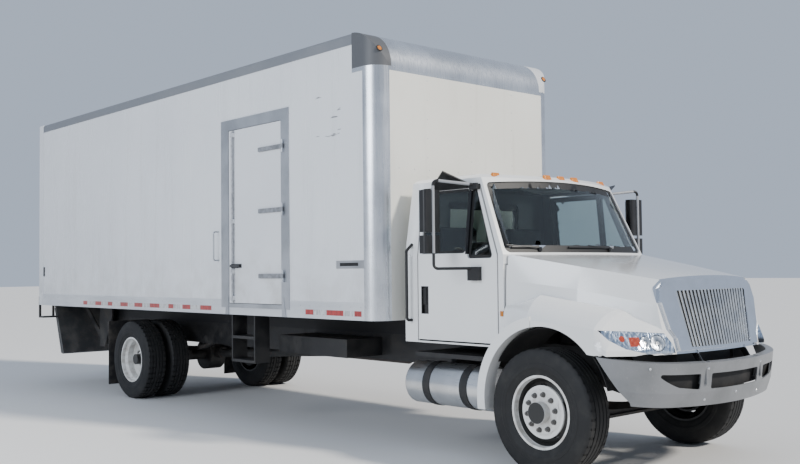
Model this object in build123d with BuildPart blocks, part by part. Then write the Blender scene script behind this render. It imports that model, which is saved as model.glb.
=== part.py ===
from build123d import *
from math import cos, radians, sin, sqrt
import os

os.makedirs("parts", exist_ok=True)

# A 26 ft box truck with a sleeperless conventional cab, millimetres.
# +X is the front, +Y the left, +Z up. The ground is Z = 0, and X = 0 is
# halfway between the nose of the bumper and the lift gate's hinge line.

# Overall layout, measured back from the front axle
front_overhang = 1090
wheelbase = 6934
body_setback = 1811
body_length = 8035
dock_depth = 230
platform_hinge_setback = 274
platform_lug_radius = 27
rear_reach = body_setback + body_length + platform_hinge_setback + platform_lug_radius
front_axle_x = (front_overhang + rear_reach) / 2 - front_overhang
rear_axle_x = front_axle_x - wheelbase
body_front_x = front_axle_x - body_setback
body_rear_x = body_front_x - body_length
tyre_radius = 511
axle_z = tyre_radius

# Ladder frame
frame_half_width = 432
rail_bottom_z = 715
rail_height = 275
rail_flange = 85
rail_wall = 9
rail_top_z = rail_bottom_z + rail_height
rail_nose = 800
rail_tail = 560
frame_front_x = front_axle_x + rail_nose
frame_rear_x = body_rear_x + rail_tail
crossmember_height = 105
crossmember_depth = 70
crossmember_setbacks = (-745, 1500, 2600, 3700, 4800, 6050, 8563, 9150)
tow_plate_wall = 22
tow_plate_length = 240
tow_plate_reach = 90
tow_hole_inset = 45
tow_hole_radius = 24

# Wheels and tyres, seen from the truck's centre plane
tyre_width = 280
tyre_shoulder = 38
bead_radius = 286
flange_radius = 298.5
rim_width = 232
rim_wall = 10
rim_well_radius = 262
disc_wall = 14
hub_radius = 120
front_flange_y = 1147
rear_flange_y = 1205
dual_spacing = 343
front_wheel_y = front_flange_y - rim_width / 2
rear_wheel_y = rear_flange_y - rim_width / 2
inner_wheel_y = rear_wheel_y - dual_spacing
dual_joint_y = (rear_wheel_y + inner_wheel_y) / 2
hand_hole_count = 5
hand_hole_length = 78
hand_hole_width = 56
hand_hole_pitch_radius = 200
front_disc_face_y = 1128
front_hub_end_y = 1196
rear_hub_end_y = 1150
drum_radius = 212
drum_depth = 150
drum_clearance = 6
spindle_radius = 38
spindle_clearance = 3

# Front axle, knuckles and steering
kingpin_y = 872
kingpin_radius = 22
kingpin_eye_radius = 44
kingpin_eye_height = 104
beam_height = 95
beam_width = 110
beam_web = 36
beam_flange = 22
beam_drop = 86
knuckle_gap = 6
knuckle_ear = 34
knuckle_depth = 92
steer_arm_length = 190
steer_arm_thickness = 28
tie_rod_radius = 19
tie_rod_gap = 6
steer_arm_inset = 44

# Leaf springs: half span, mounting height of the middle, rise of the eyes
spring_width = 76
spring_y = frame_half_width - rail_flange / 2
front_spring_half_span = 600
rear_spring_half_span = 710
spring_eye_rise = 78
leaf_pack_depth = 62
spring_seat = 12
leaf_tip_depth = 22
spring_hanger_length = 70

# Rear axle
rear_tube_radius = 66
banjo_radius = 205
banjo_width = 230
pinion_length = 330
pinion_radius = 75
brake_plate_radius = 200
brake_plate_wall = 14

# Engine, gearbox and shafts
engine_length = 930
engine_width = 610
engine_bottom_z = 640
engine_sump = 175
engine_sump_inset = 330
engine_top_z = 1500
engine_front = 470
bell_length = 190
bell_radius = 200
gearbox_length = 660
gearbox_radius = 165
shaft_z = 760
shaft_radius = 52
shaft_joint_radius = 68
shaft_joint_length = 95
exhaust_y = 236
exhaust_radius = 55
muffler_radius = 90
muffler_length = 1150
muffler_setback = 3050
exhaust_tail_setback = 5300
exhaust_z = 690
hanger_length = 50

# Radiator
radiator_setback = -640
radiator_depth = 90
radiator_width = 880
radiator_bottom_z = 800
radiator_top_z = 1480

# Fuel tank, battery box and air tanks on the frame
tank_radius = 197
tank_length = 1000
tank_front = 692
tank_y = 872
tank_z = 612
tank_crown = 22
strap_width = 62
strap_wall = 6
strap_insets = (230, 700)
battery_front = 2740
battery_length = 1200
battery_height = 190
battery_width = 480
air_tank_radius = 118
air_tank_length = 760
air_tank_front = 4250
air_tank_y = 610
air_tank_z = 800

# Cab
cab_half_width = 1020
cab_wall = 45
cab_floor_z = 990
cab_back = 1720
cowl_setback = 482
belt_z = 1780
eave_z = 2468
roof_half_width = 940
cab_back_lean = 40
windshield_base_bow = 150
windshield_top_setback = 800
windshield_top_bow = 165
# Roof layers above the eave: height and inset from the eave's plan
roof_layers = ((eave_z, 0), (2498, 36), (2514, 120), (2524, 320))
cowl_z = 1700
glass_wall = 8
glass_inset = 12
windshield_base_z = 1796
windshield_base_half_width = 988
windshield_corner_z = 2420
windshield_corner_half_width = 914
windshield_top_z = 2452
windshield_radius = 45
rear_window_half_width = 520
rear_window_bottom_z = 1860
rear_window_top_z = 2320
rear_window_radius = 60

# Cab doors
door_rear = 1545
door_front = 548
door_front_high = 812
door_wall = 50
door_gap = 14
door_cut_depth = 125
door_swing_gap = 40
door_bottom_z = 1012
door_top_z = 2404
door_hinge_back = 26
door_hinge_inset = 12
door_pin_radius = 6
door_pin_clearance = 0.3
door_pin_length = 32
door_glass_inset = 18
door_window_sill_z = 1800
door_window_top_z = 2376
door_window_rear = 1500
door_window_radius = 28
vent_rear = 905
vent_front_low = 598
vent_front_high = 842
vent_bottom_z = 1752
window_post = 28
handle_length = 250
handle_width = 66
handle_depth = 16
handle_setback = 1490
handle_bottom_z = 1254
handle_border = 12

# Mirrors: the left one's arms are swung further forward than the right one's
mirror_tube_radius = 13
mirror_post_setbacks = (715, 1040)
mirror_post_y = 1300
mirror_foot_setback = 800
mirror_foot_length = 130
mirror_foot_height = 120
mirror_foot_z = 1665
mirror_top_z = 2440
mirror_arm_setback = 850
mirror_arm_z = 2402
mirror_arm_wall = 45
mirror_plate_wall = 12
mirror_plate_length = 620
mirror_plate_apex_back = 110
mirror_plate_apex_y = 1262
mirror_plate_apex_z = 2512
mirror_head_width = 196
mirror_head_depth = 92
mirror_head_radius = 30
mirror_head_bottom_z = 1985
mirror_head_height = 367
mirror_spot_height = 158
mirror_spot_gap = 30

# Hood, fenders and grille
hood_wall = 12
hood_gap = 12
hood_crown = 26
# Nose stations: reach ahead of the axle, then Y and Z of the crease, the side seam and the foot
nose_stations = (
    (-470, 985, 1782, 1000, 1566, 1006, 1262),
    (200, 838, 1666, 900, 1486, 925, 1250),
    (790, 660, 1562, 745, 1372, 760, 1150),
    (960, 612, 1532, 705, 1335, 690, 1060),
)
fender_half_width = 1168
fender_inner_y = 600
fender_bottom_z = 992
fender_toe_z = 1030
fender_bulge = 0.14
# Fender stations: reach ahead of the axle, crown Y and Z, lip Y and Z, then the toe's Y
fender_stations = (
    (-470, 1006, 1345, 1040, 1262, 1040),
    (-120, 930, 1450, 1160, 1246, 1160),
    (545, 800, 1335, fender_half_width - 8, 1190, fender_half_width - 4),
    (590, 788, 1316, 1122, 1185, 1162),
    (650, 770, 1278, 1035, 1174, 1155),
    (790, 735, 1218, 842, 1170, 975),
    (870, 700, 1185, 732, 1162, 820),
    (945, 648, 1090, 664, 1082, 690),
)
arch_setback = -30
arch_z = 580
arch_radius = 615
flare_width = 84
flare_depth = 128
flare_front_gap = 110
flare_bottom_z = 480
grille_slope = 0.19
surround_depth = 62
surround_face_setback = -987
surround_bow = 78
surround_ridge = 13
surround_half_span = 800
surround_bottom_z = 990
surround_top_z = 1562
surround_top_half_width = 655
surround_shoulder_half_width = 698
surround_shoulder_z = 1500
surround_waist_half_width = 730
surround_waist_z = 1385
surround_knee_half_width = 685
surround_knee_z = 1180
surround_foot_half_width = 626
surround_foot_z = 1108
surround_bottom_half_width = 616
surround_corner = 28
surround_roll = 26
surround_reveal = 20
hood_flange_wall = 12
grille_top_z = 1474
grille_bottom_z = 1036
grille_top_half_width = 528
grille_bottom_half_width = 455
grille_corner = 24
bar_count_per_side = 11
bar_width = 22
bar_depth = 34
bar_corner = 8
bar_inset = 14
mesh_inset = 34
mesh_wall = 16
headlight_tip_reach = 585
headlight_tip_y = 1155
headlight_turn = 57
headlight_depth = 90
headlight_inset = 2
# Headlight outline: distance inward from its tip, height
headlight_outline = (
    (0, 1184), (254, 1172), (520, 1154), (573, 1077), (598, 1006), (366, 1004), (192, 1044), (76, 1108),
)
hood_pivot_setback = -990
hood_pivot_z = 875
hood_hinge_y = 355
hood_hinge_wall = 14
hood_hinge_gap = 4
hood_hinge_radius = 24
hood_hinge_run = 70
hood_pin_radius = 11
hood_pin_clearance = 0.05

# Bumper: it slopes down to its nose, and its heights run down from its top plane
bumper_top_z = 985
bumper_tilt = 7.4
bumper_height = 340
bumper_crease = 230
bumper_tuck = 22
bumper_half_width = 1165
bumper_wall = 8
bumper_lip = 55
bumper_end_setback = -565
bumper_end_slant = 190
bumper_bow = 99
bumper_shoulder_y = 720
slot_top = 85
slot_bottom = 206
slot_corner = 15
centre_slot_half_width = 352
side_slot_inner_y = 475
side_slot_outer_y = 885
# Lower edge of a side slot: distance from the middle, depth below the top plane
side_slot_curve = ((797, 142), (684, 186))
bumper_bracket_y = 416
bumper_bracket_wall = 24
bumper_bracket_drop = 160
bumper_bracket_reach = 38
hood_notch_gap = 10
hood_notch_setback = 42

# Dashboard, steering wheel and seats
dash_depth = 330
dash_height = 260
dash_top_z = 1800
steering_wheel_radius = 230
steering_rim_radius = 15
steering_wheel_y = 480
steering_wheel_setback = 1010
steering_wheel_z = 1690
steering_wheel_tilt = 38
seat_width = 500
seat_depth = 500
seat_z = 1420
seat_cushion = 130
seat_back_height = 640
seat_back_wall = 120
seat_y = 480
seat_front_setback = 1120
seat_base_width = 360

# Box body
body_half_width = 1295
body_bottom_z = 1181
side_rail_height = 169
side_rail_wall = 45
rail_proud = 4
floor_top_z = 1305
floor_wall = 35
roof_top_z = 3948
roof_wall = 36
wall_thickness = 40
corner_radius = 184
header_radius = 340
header_bottom_z = 3560
top_rail_height = 112
top_rail_width = 62
top_rail_radius = 26
body_crossmember_pitch = 610
body_crossmember_width = 60
body_sill_width = 80
body_sill_y = frame_half_width - rail_flange / 2
rear_frame_depth = 150
rear_post_width = 95
rear_header_height = 250
rear_door_wall = 28
rear_door_inset = 40
rear_door_panels = 7
rear_door_groove = 8

# Side door on the right wall
door_frame_rear = 4520
door_frame_front = 3200
door_frame_top_z = 3370
door_frame_proud = 8
side_door_rear = 4360
side_door_front = 3335
side_door_bottom_z = 1305
side_door_top_z = 3250
side_door_gap = 6
side_door_wall = 40
side_hinge_setback = 3288
side_hinge_heights = (1608, 2308, 2973)
side_hinge_proud = 27
side_hinge_radius = 12
side_hinge_length = 130
strap_height = 46
strap_plate = 8
strap_reach = 460
lock_rod_setback = 4262
lock_rod_radius = 12
lock_rod_proud = 24
lock_handle_z = 1722
lock_handle_length = 150
gusset_height = 200
gusset_top = 34
gusset_foot = 66
gusset_wall = 12
grab_loop_setback = 4590
grab_loop_bottom_z = 1790
grab_loop_top_z = 2115
grab_loop_radius = 8
grab_loop_reach = 70

# Steps, mud flaps and lamps
side_step_width = 470
side_step_setback = 4130
side_step_leg = 22
side_step_bottom_z = 655
side_step_depth = 190
side_step_tread = 30
cab_step_length = 1040
cab_step_front = 560
cab_step_top_z = 900
cab_step_wall = 40
cab_step_depth = 230
grab_bar_radius = 14
grab_bar_setback = 1632
grab_bar_bottom_z = 1190
grab_bar_top_z = 1895
grab_bar_reach = 62
grab_bar_lean = 60
mud_flap_setback = 640
mud_flap_width = 610
mud_flap_wall = 10
mud_flap_bottom_z = 135
mud_flap_top_z = 1000
mud_flap_y = 915
lamp_radius = 32
roof_lamp_width = 58
roof_lamp_length = 124
roof_lamp_rise = 46
roof_lamp_taper = 22
roof_lamp_setback = 672
roof_lamp_pitch = 200
outer_lamp_y = 768
outer_lamp_setback = 790
cowl_lamp_z = 1256
cowl_lamp_height = 44
cowl_lamp_length = 32
cowl_lamp_depth = 14
tail_lamp_radius = 38
tail_lamp_z = 1440
tail_lamp_pitch = 110

# Lift gate folded under the tail
gate_pivot_ahead = 633
gate_pivot_z = 600
gate_arm_length = 880
gate_raised_angle = 38.7
gate_arm_y = 520
gate_arm_wall = 26
gate_arm_height = 96
gate_pin_radius = 20
gate_pin_clearance = 0.05
gate_side_gap = 8
gate_tube = 60
platform_start = 80
platform_width = 1900
platform_length = 940
platform_wall = 44
platform_stow_angle = 23
flip_length = 740
flip_gap = 8
flip_setback = 30
flip_pin_setback = 10
flip_pin_radius = 9
flip_hinge_radius = 14
dock_plate_wall = 14
dock_channel = 46
dock_channel_bottom_z = 1205
dock_half_width = 1210
dock_step_width = 240
dock_step_drop = 330
gate_plate_wall = 20
gate_cylinder_radius = 44
gate_rod_radius = 18
gate_rod_clearance = 0.05
gate_piston_radius = 36
gate_cylinder_bore = 36.05
gate_cylinder_length = 430
gate_lever = 120
gate_lever_wall = 24
gate_lever_eye = 26
gate_lever_angle = 105
gate_cylinder_ahead = 650
gate_cylinder_z = 700
gate_fork_half = 24
gate_clevis_wall = 14
gate_clevis_width = 80
gate_torque_radius = 44
gate_neck_radius = 19
gate_neck_length = 70


def block(x_limits, y_limits, z_limits, mode=Mode.ADD):
    # A box between two limits along each axis
    sizes = [abs(limits[1] - limits[0]) for limits in (x_limits, y_limits, z_limits)]
    middles = [(limits[0] + limits[1]) / 2 for limits in (x_limits, y_limits, z_limits)]
    with Locations(tuple(middles)):
        Box(*sizes, mode=mode)


def side_plane(y):
    # A plane across the truck whose own X is the truck's X and whose own Y is up
    return Plane(origin=(0, y, 0), x_dir=(1, 0, 0), z_dir=(0, -1, 0))


def cross_plane(x):
    # A plane square to the truck's length whose own X is the truck's left
    return Plane(origin=(x, 0, 0), x_dir=(0, 1, 0), z_dir=(1, 0, 0))


def rod(start, end, radius, mode=Mode.ADD):
    # A round bar from one point to another
    along = Vector(*end) - Vector(*start)
    with BuildSketch(Plane(origin=start, z_dir=along)) as section:
        Circle(radius)
    extrude(section.sketch, amount=along.length, mode=mode)


def tube(points, radius, bend):
    # A round bar bent along a path with equal bend radii
    with BuildLine() as path:
        FilletPolyline(*points, radius=bend)
    start = path.wire() @ 0
    with BuildSketch(Plane(origin=start, z_dir=path.wire() % 0)) as section:
        Circle(radius)
    sweep(section.sketch, path=path.wire())


def across(x, z, radius, y_limits, mode=Mode.ADD):
    # A round bar that lies across the truck
    rod((x, min(y_limits), z), (x, max(y_limits), z), radius, mode)


# Ladder frame: two channels, their crossmembers and the tow plates at the front
with BuildPart() as frame_rails:
    with BuildSketch(cross_plane(frame_rear_x)):
        with Locations((frame_half_width - rail_flange / 2, rail_bottom_z + rail_height / 2)):
            Rectangle(rail_flange, rail_height)
        with Locations((frame_half_width - rail_wall - rail_flange / 2, rail_bottom_z + rail_height / 2)):
            Rectangle(rail_flange, rail_height - 2 * rail_wall, mode=Mode.SUBTRACT)
    extrude(amount=frame_front_x - frame_rear_x)
    tow_front_x = frame_front_x + tow_plate_reach
    block(
        (tow_front_x - tow_plate_length, tow_front_x),
        (frame_half_width - rail_flange, frame_half_width),
        (rail_bottom_z - tow_plate_wall, rail_bottom_z),
    )
    tow_hole = (tow_front_x - tow_hole_inset, frame_half_width - rail_flange / 2)
    rod(
        (*tow_hole, rail_bottom_z - 2 * tow_plate_wall),
        (*tow_hole, rail_bottom_z + tow_plate_wall),
        tow_hole_radius,
        Mode.SUBTRACT,
    )
    mirror(about=Plane.XZ)
    web_y = frame_half_width - rail_wall
    crossmember_z = rail_top_z - rail_wall - crossmember_height / 2
    for setback in crossmember_setbacks:
        middle = front_axle_x - setback
        block(
            (middle - crossmember_depth / 2, middle + crossmember_depth / 2),
            (-web_y, web_y),
            (crossmember_z - crossmember_height / 2, crossmember_z + crossmember_height / 2),
        )
    # Lugs ahead of the front crossmember that carry the hood's pivot pins
    lug_y = hood_hinge_y + hood_hinge_wall + hood_hinge_gap
    hood_pivot_x = front_axle_x - hood_pivot_setback
    for side in (-1, 1):
        block(
            (front_axle_x - crossmember_setbacks[0], hood_pivot_x),
            (side * lug_y, side * (lug_y + hood_hinge_wall)),
            (hood_pivot_z - hood_hinge_radius, hood_pivot_z + hood_hinge_radius),
        )
        across(
            hood_pivot_x, hood_pivot_z, hood_hinge_radius,
            (side * lug_y, side * (lug_y + hood_hinge_wall)),
        )
        across(
            hood_pivot_x, hood_pivot_z, hood_pin_radius,
            (side * (hood_hinge_y - hood_hinge_gap), side * lug_y),
        )
    # Clevis under a crossmember for the lift gate's cylinder
    clevis_x = front_axle_x - body_setback - body_length + gate_pivot_ahead + gate_cylinder_ahead
    for side in (-1, 1):
        block(
            (clevis_x - gate_clevis_width / 2, clevis_x + gate_clevis_width / 2),
            (side * gate_fork_half, side * (gate_fork_half + gate_clevis_wall)),
            (gate_cylinder_z - gate_clevis_width / 2, crossmember_z),
        )
    across(
        clevis_x, gate_cylinder_z, gate_pin_radius,
        (-gate_fork_half - gate_clevis_wall, gate_fork_half + gate_clevis_wall),
    )
frame_rails.part.label = "frame_rails"
export_step(frame_rails.part, "parts/frame_rails.step")

# Engine as one plain block, on the front crossmembers
with BuildPart() as engine_block:
    block(
        (front_axle_x + engine_front - engine_length, front_axle_x + engine_front),
        (-engine_width / 2, engine_width / 2),
        (engine_bottom_z + engine_sump, engine_top_z),
    )
    block(
        (front_axle_x + engine_front - engine_length, front_axle_x + engine_front - engine_sump_inset),
        (-150, 150),
        (engine_bottom_z, engine_bottom_z + engine_sump),
    )
engine_block.part.label = "engine_block"
export_step(engine_block.part, "parts/engine_block.step")

engine_rear_x = front_axle_x + engine_front - engine_length
gearbox_rear_x = engine_rear_x - bell_length - gearbox_length
pinion_x = rear_axle_x + pinion_length

# Exhaust: pipe from the engine, muffler between the rails and tail pipe
with BuildPart() as exhaust:
    muffler_front_x = front_axle_x - muffler_setback
    rod((gearbox_rear_x, exhaust_y, exhaust_z), (muffler_front_x, exhaust_y, exhaust_z), exhaust_radius)
    rod(
        (muffler_front_x, exhaust_y, exhaust_z),
        (muffler_front_x - muffler_length, exhaust_y, exhaust_z),
        muffler_radius,
    )
    rod(
        (muffler_front_x - muffler_length, exhaust_y, exhaust_z),
        (front_axle_x - exhaust_tail_setback, exhaust_y, exhaust_z),
        exhaust_radius,
    )
    # Hangers up to the underside of the left rail
    for hanger_x in (gearbox_rear_x - 200, muffler_front_x - 150, muffler_front_x - muffler_length - 200):
        block(
            (hanger_x - hanger_length, hanger_x),
            (exhaust_y, frame_half_width - 10),
            (rail_bottom_z - 20, rail_bottom_z),
        )
exhaust.part.label = "exhaust"
export_step(exhaust.part, "parts/exhaust.step")

# Radiator behind the grille, on the rails
with BuildPart() as radiator:
    radiator_x = front_axle_x - radiator_setback
    block(
        (radiator_x - radiator_depth / 2, radiator_x + radiator_depth / 2),
        (-radiator_width / 2, radiator_width / 2),
        (rail_top_z, radiator_top_z),
    )
    block(
        (radiator_x - radiator_depth / 2, radiator_x + radiator_depth / 2),
        (-radiator_width / 2 + 130, radiator_width / 2 - 130),
        (radiator_bottom_z, rail_top_z),
    )
radiator.part.label = "radiator"
export_step(radiator.part, "parts/radiator.step")

# Dropped front axle beam with an eye at each end for the kingpins
beam_z = axle_z - beam_drop
with BuildPart() as front_axle:
    with BuildSketch(cross_plane(front_axle_x - beam_width / 2)):
        with BuildLine():
            Polyline(
                (-kingpin_y, axle_z - beam_height / 2),
                (-kingpin_y + 130, axle_z - beam_height / 2 - 10),
                (-spring_y - 90, beam_z - beam_height / 2),
                (spring_y + 90, beam_z - beam_height / 2),
                (kingpin_y - 130, axle_z - beam_height / 2 - 10),
                (kingpin_y, axle_z - beam_height / 2),
                (kingpin_y, axle_z + beam_height / 2),
                (kingpin_y - 130, axle_z + beam_height / 2 - 10),
                (spring_y + 90, beam_z + beam_height / 2),
                (-spring_y - 90, beam_z + beam_height / 2),
                (-kingpin_y + 130, axle_z + beam_height / 2 - 10),
                (-kingpin_y, axle_z + beam_height / 2),
                close=True,
            )
        make_face()
    extrude(amount=beam_width)
    # The beam's web is thinner than its flanges
    for face_x, reach in ((front_axle_x + beam_width / 2, -1), (front_axle_x - beam_width / 2, 1)):
        pocket = (beam_width - beam_web) / 2
        block(
            (face_x, face_x + reach * pocket),
            (-spring_y - 80, spring_y + 80),
            (beam_z - beam_height / 2 + beam_flange, beam_z + beam_height / 2 - beam_flange),
            Mode.SUBTRACT,
        )
    for side in (-1, 1):
        # Trim the square end back before the round eye goes on
        block(
            (front_axle_x - beam_width, front_axle_x + beam_width),
            (side * (kingpin_y - 10), side * (kingpin_y + 200)),
            (axle_z - beam_height, axle_z + beam_height),
            Mode.SUBTRACT,
        )
        with BuildSketch(Plane.XY.offset(axle_z - kingpin_eye_height / 2)):
            with Locations((front_axle_x, side * kingpin_y)):
                Circle(kingpin_eye_radius)
        extrude(amount=kingpin_eye_height)
        with BuildSketch(Plane.XY.offset(axle_z - kingpin_eye_height)):
            with Locations((front_axle_x, side * kingpin_y)):
                Circle(kingpin_radius + 0.05)
        extrude(amount=2 * kingpin_eye_height, mode=Mode.SUBTRACT)
front_axle.part.label = "front_axle"
export_step(front_axle.part, "parts/front_axle.step")

# Rear axle: tubes, banjo housing, pinion nose and brake plates
with BuildPart() as rear_axle:
    plate_y = inner_wheel_y - rim_width / 2 - brake_plate_wall - drum_clearance
    across(rear_axle_x, axle_z, rear_tube_radius, (-plate_y, plate_y))
    across(rear_axle_x, axle_z, banjo_radius, (-banjo_width / 2, banjo_width / 2))
    rod((rear_axle_x, 0, axle_z + 30), (pinion_x, 0, axle_z + 30), pinion_radius)
    for side in (-1, 1):
        across(
            rear_axle_x, axle_z, brake_plate_radius, (side * plate_y, side * (plate_y + brake_plate_wall))
        )
        across(rear_axle_x, axle_z, spindle_radius, (side * plate_y, side * (dual_joint_y - 60)))
        block(
            (rear_axle_x - 70, rear_axle_x + 70),
            (side * (spring_y - spring_width / 2), side * (spring_y + spring_width / 2)),
            (axle_z, axle_z + rear_tube_radius + spring_seat),
        )
rear_axle.part.label = "rear_axle"
export_step(rear_axle.part, "parts/rear_axle.step")


# Bell housing, gearbox and the propeller shafts back to the axle
with BuildPart() as driveline:
    rod((engine_rear_x, 0, shaft_z + 10), (engine_rear_x - bell_length, 0, shaft_z + 10), bell_radius)
    rod((engine_rear_x - bell_length, 0, shaft_z + 10), (gearbox_rear_x, 0, shaft_z + 10), gearbox_radius)
    shaft_middle = ((gearbox_rear_x + pinion_x) / 2, 0, shaft_z - 60)
    rod((gearbox_rear_x, 0, shaft_z), shaft_middle, shaft_radius)
    rod(shaft_middle, (pinion_x, 0, axle_z + 30), shaft_radius)
    rod(
        (shaft_middle[0] - shaft_joint_length, 0, shaft_middle[2]),
        (shaft_middle[0] + shaft_joint_length, 0, shaft_middle[2]),
        shaft_joint_radius,
    )
    add(rear_axle.part, mode=Mode.SUBTRACT)
driveline.part.label = "driveline"
export_step(driveline.part, "parts/driveline.step")

def leaf_pack(axle_x, seat_z, half_span, side):
    # A leaf pack that arches up to an eye under a hanger at each end
    eye_z = seat_z + leaf_pack_depth + spring_eye_rise
    with BuildSketch(side_plane(side * spring_y + spring_width / 2)) as leaves:
        with BuildLine():
            lower_left = (axle_x - half_span, eye_z - leaf_tip_depth)
            lower_right = (axle_x + half_span, eye_z - leaf_tip_depth)
            upper_left = (axle_x - half_span, eye_z)
            upper_right = (axle_x + half_span, eye_z)
            ThreePointArc(lower_left, (axle_x, seat_z), lower_right)
            Line(lower_right, upper_right)
            ThreePointArc(upper_right, (axle_x, seat_z + leaf_pack_depth), upper_left)
            Line(upper_left, lower_left)
        make_face()
    extrude(leaves.sketch, amount=spring_width)
    for end in (-1, 1):
        middle = axle_x + end * (half_span - spring_hanger_length / 2)
        block(
            (middle - spring_hanger_length / 2, middle + spring_hanger_length / 2),
            (side * spring_y - spring_width / 2, side * spring_y + spring_width / 2),
            (eye_z - leaf_tip_depth, rail_bottom_z),
        )


# Leaf packs on both axles, each with its hangers and its axle seat
with BuildPart() as leaf_springs:
    for side in (-1, 1):
        leaf_pack(front_axle_x, beam_z + beam_height / 2 - 4, front_spring_half_span, side)
        leaf_pack(rear_axle_x, axle_z + rear_tube_radius + spring_seat - 4, rear_spring_half_span, side)
    add(front_axle.part, mode=Mode.SUBTRACT)
    add(rear_axle.part, mode=Mode.SUBTRACT)
    add(frame_rails.part, mode=Mode.SUBTRACT)
leaf_springs.part.label = "leaf_springs"
export_step(leaf_springs.part, "parts/leaf_springs.step")

# Fuel tank: a cylinder with crowned ends, hung outside the right rail
tank_front_x = front_axle_x - tank_front
with BuildPart() as fuel_tank:
    rod((tank_front_x, -tank_y, tank_z), (tank_front_x - tank_length, -tank_y, tank_z), tank_radius)
    fillet(fuel_tank.edges().filter_by(GeomType.CIRCLE), tank_crown)
fuel_tank.part.label = "fuel_tank"
export_step(fuel_tank.part, "parts/fuel_tank.step")

# Battery box outside the right rail and air tanks outside the left one
with BuildPart() as battery_box:
    battery_front_x = front_axle_x - battery_front
    block(
        (battery_front_x - battery_length, battery_front_x),
        (-frame_half_width - battery_width, -frame_half_width),
        (rail_top_z - battery_height - 40, rail_top_z - 40),
    )
    for row in (0, 1):
        tank_start_x = front_axle_x - air_tank_front + row * (air_tank_length + 160)
        air_tank_end_x = tank_start_x - air_tank_length
        rod((tank_start_x, air_tank_y, air_tank_z), (air_tank_end_x, air_tank_y, air_tank_z), air_tank_radius)
        for inset in (150, air_tank_length - 150):
            block(
                (tank_start_x - inset - 25, tank_start_x - inset + 25),
                (frame_half_width, air_tank_y),
                (air_tank_z - 30, air_tank_z + 30),
            )
battery_box.part.label = "battery_box"
export_step(battery_box.part, "parts/battery_box.step")


bumper_end_x = front_axle_x - bumper_end_setback
bumper_reach = (front_overhang + bumper_end_setback) / cos(radians(bumper_tilt))
bumper_forward = (cos(radians(bumper_tilt)), 0, -sin(radians(bumper_tilt)))
bumper_up = (sin(radians(bumper_tilt)), 0, cos(radians(bumper_tilt)))


def bumper_plane(drop):
    # The bumper's sloping top plane, moved down square to itself
    top = Plane(origin=(bumper_end_x, 0, bumper_top_z), x_dir=bumper_forward, z_dir=bumper_up)
    return top.offset(-drop)


def bumper_area(drop, inset):
    # The plan area behind the bumper's face at one depth below its top, shrunk by an inset
    with BuildSketch(bumper_plane(drop)) as area:
        shoulder_x = bumper_reach - bumper_bow
        with BuildLine():
            front = ThreePointArc(
                (shoulder_x, -bumper_shoulder_y), (bumper_reach, 0), (shoulder_x, bumper_shoulder_y)
            )
            TangentArc((shoulder_x, bumper_shoulder_y), (0, bumper_half_width), tangent=front % 1)
            Polyline(
                (0, bumper_half_width),
                (-bumper_end_slant, bumper_half_width),
                (-bumper_end_slant, -bumper_half_width),
                (0, -bumper_half_width),
            )
            TangentArc((shoulder_x, -bumper_shoulder_y), (0, -bumper_half_width), tangent=-(front % 0))
        make_face()
        if inset:
            offset(amount=-inset, kind=Kind.INTERSECTION)
    return area.sketch


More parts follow.
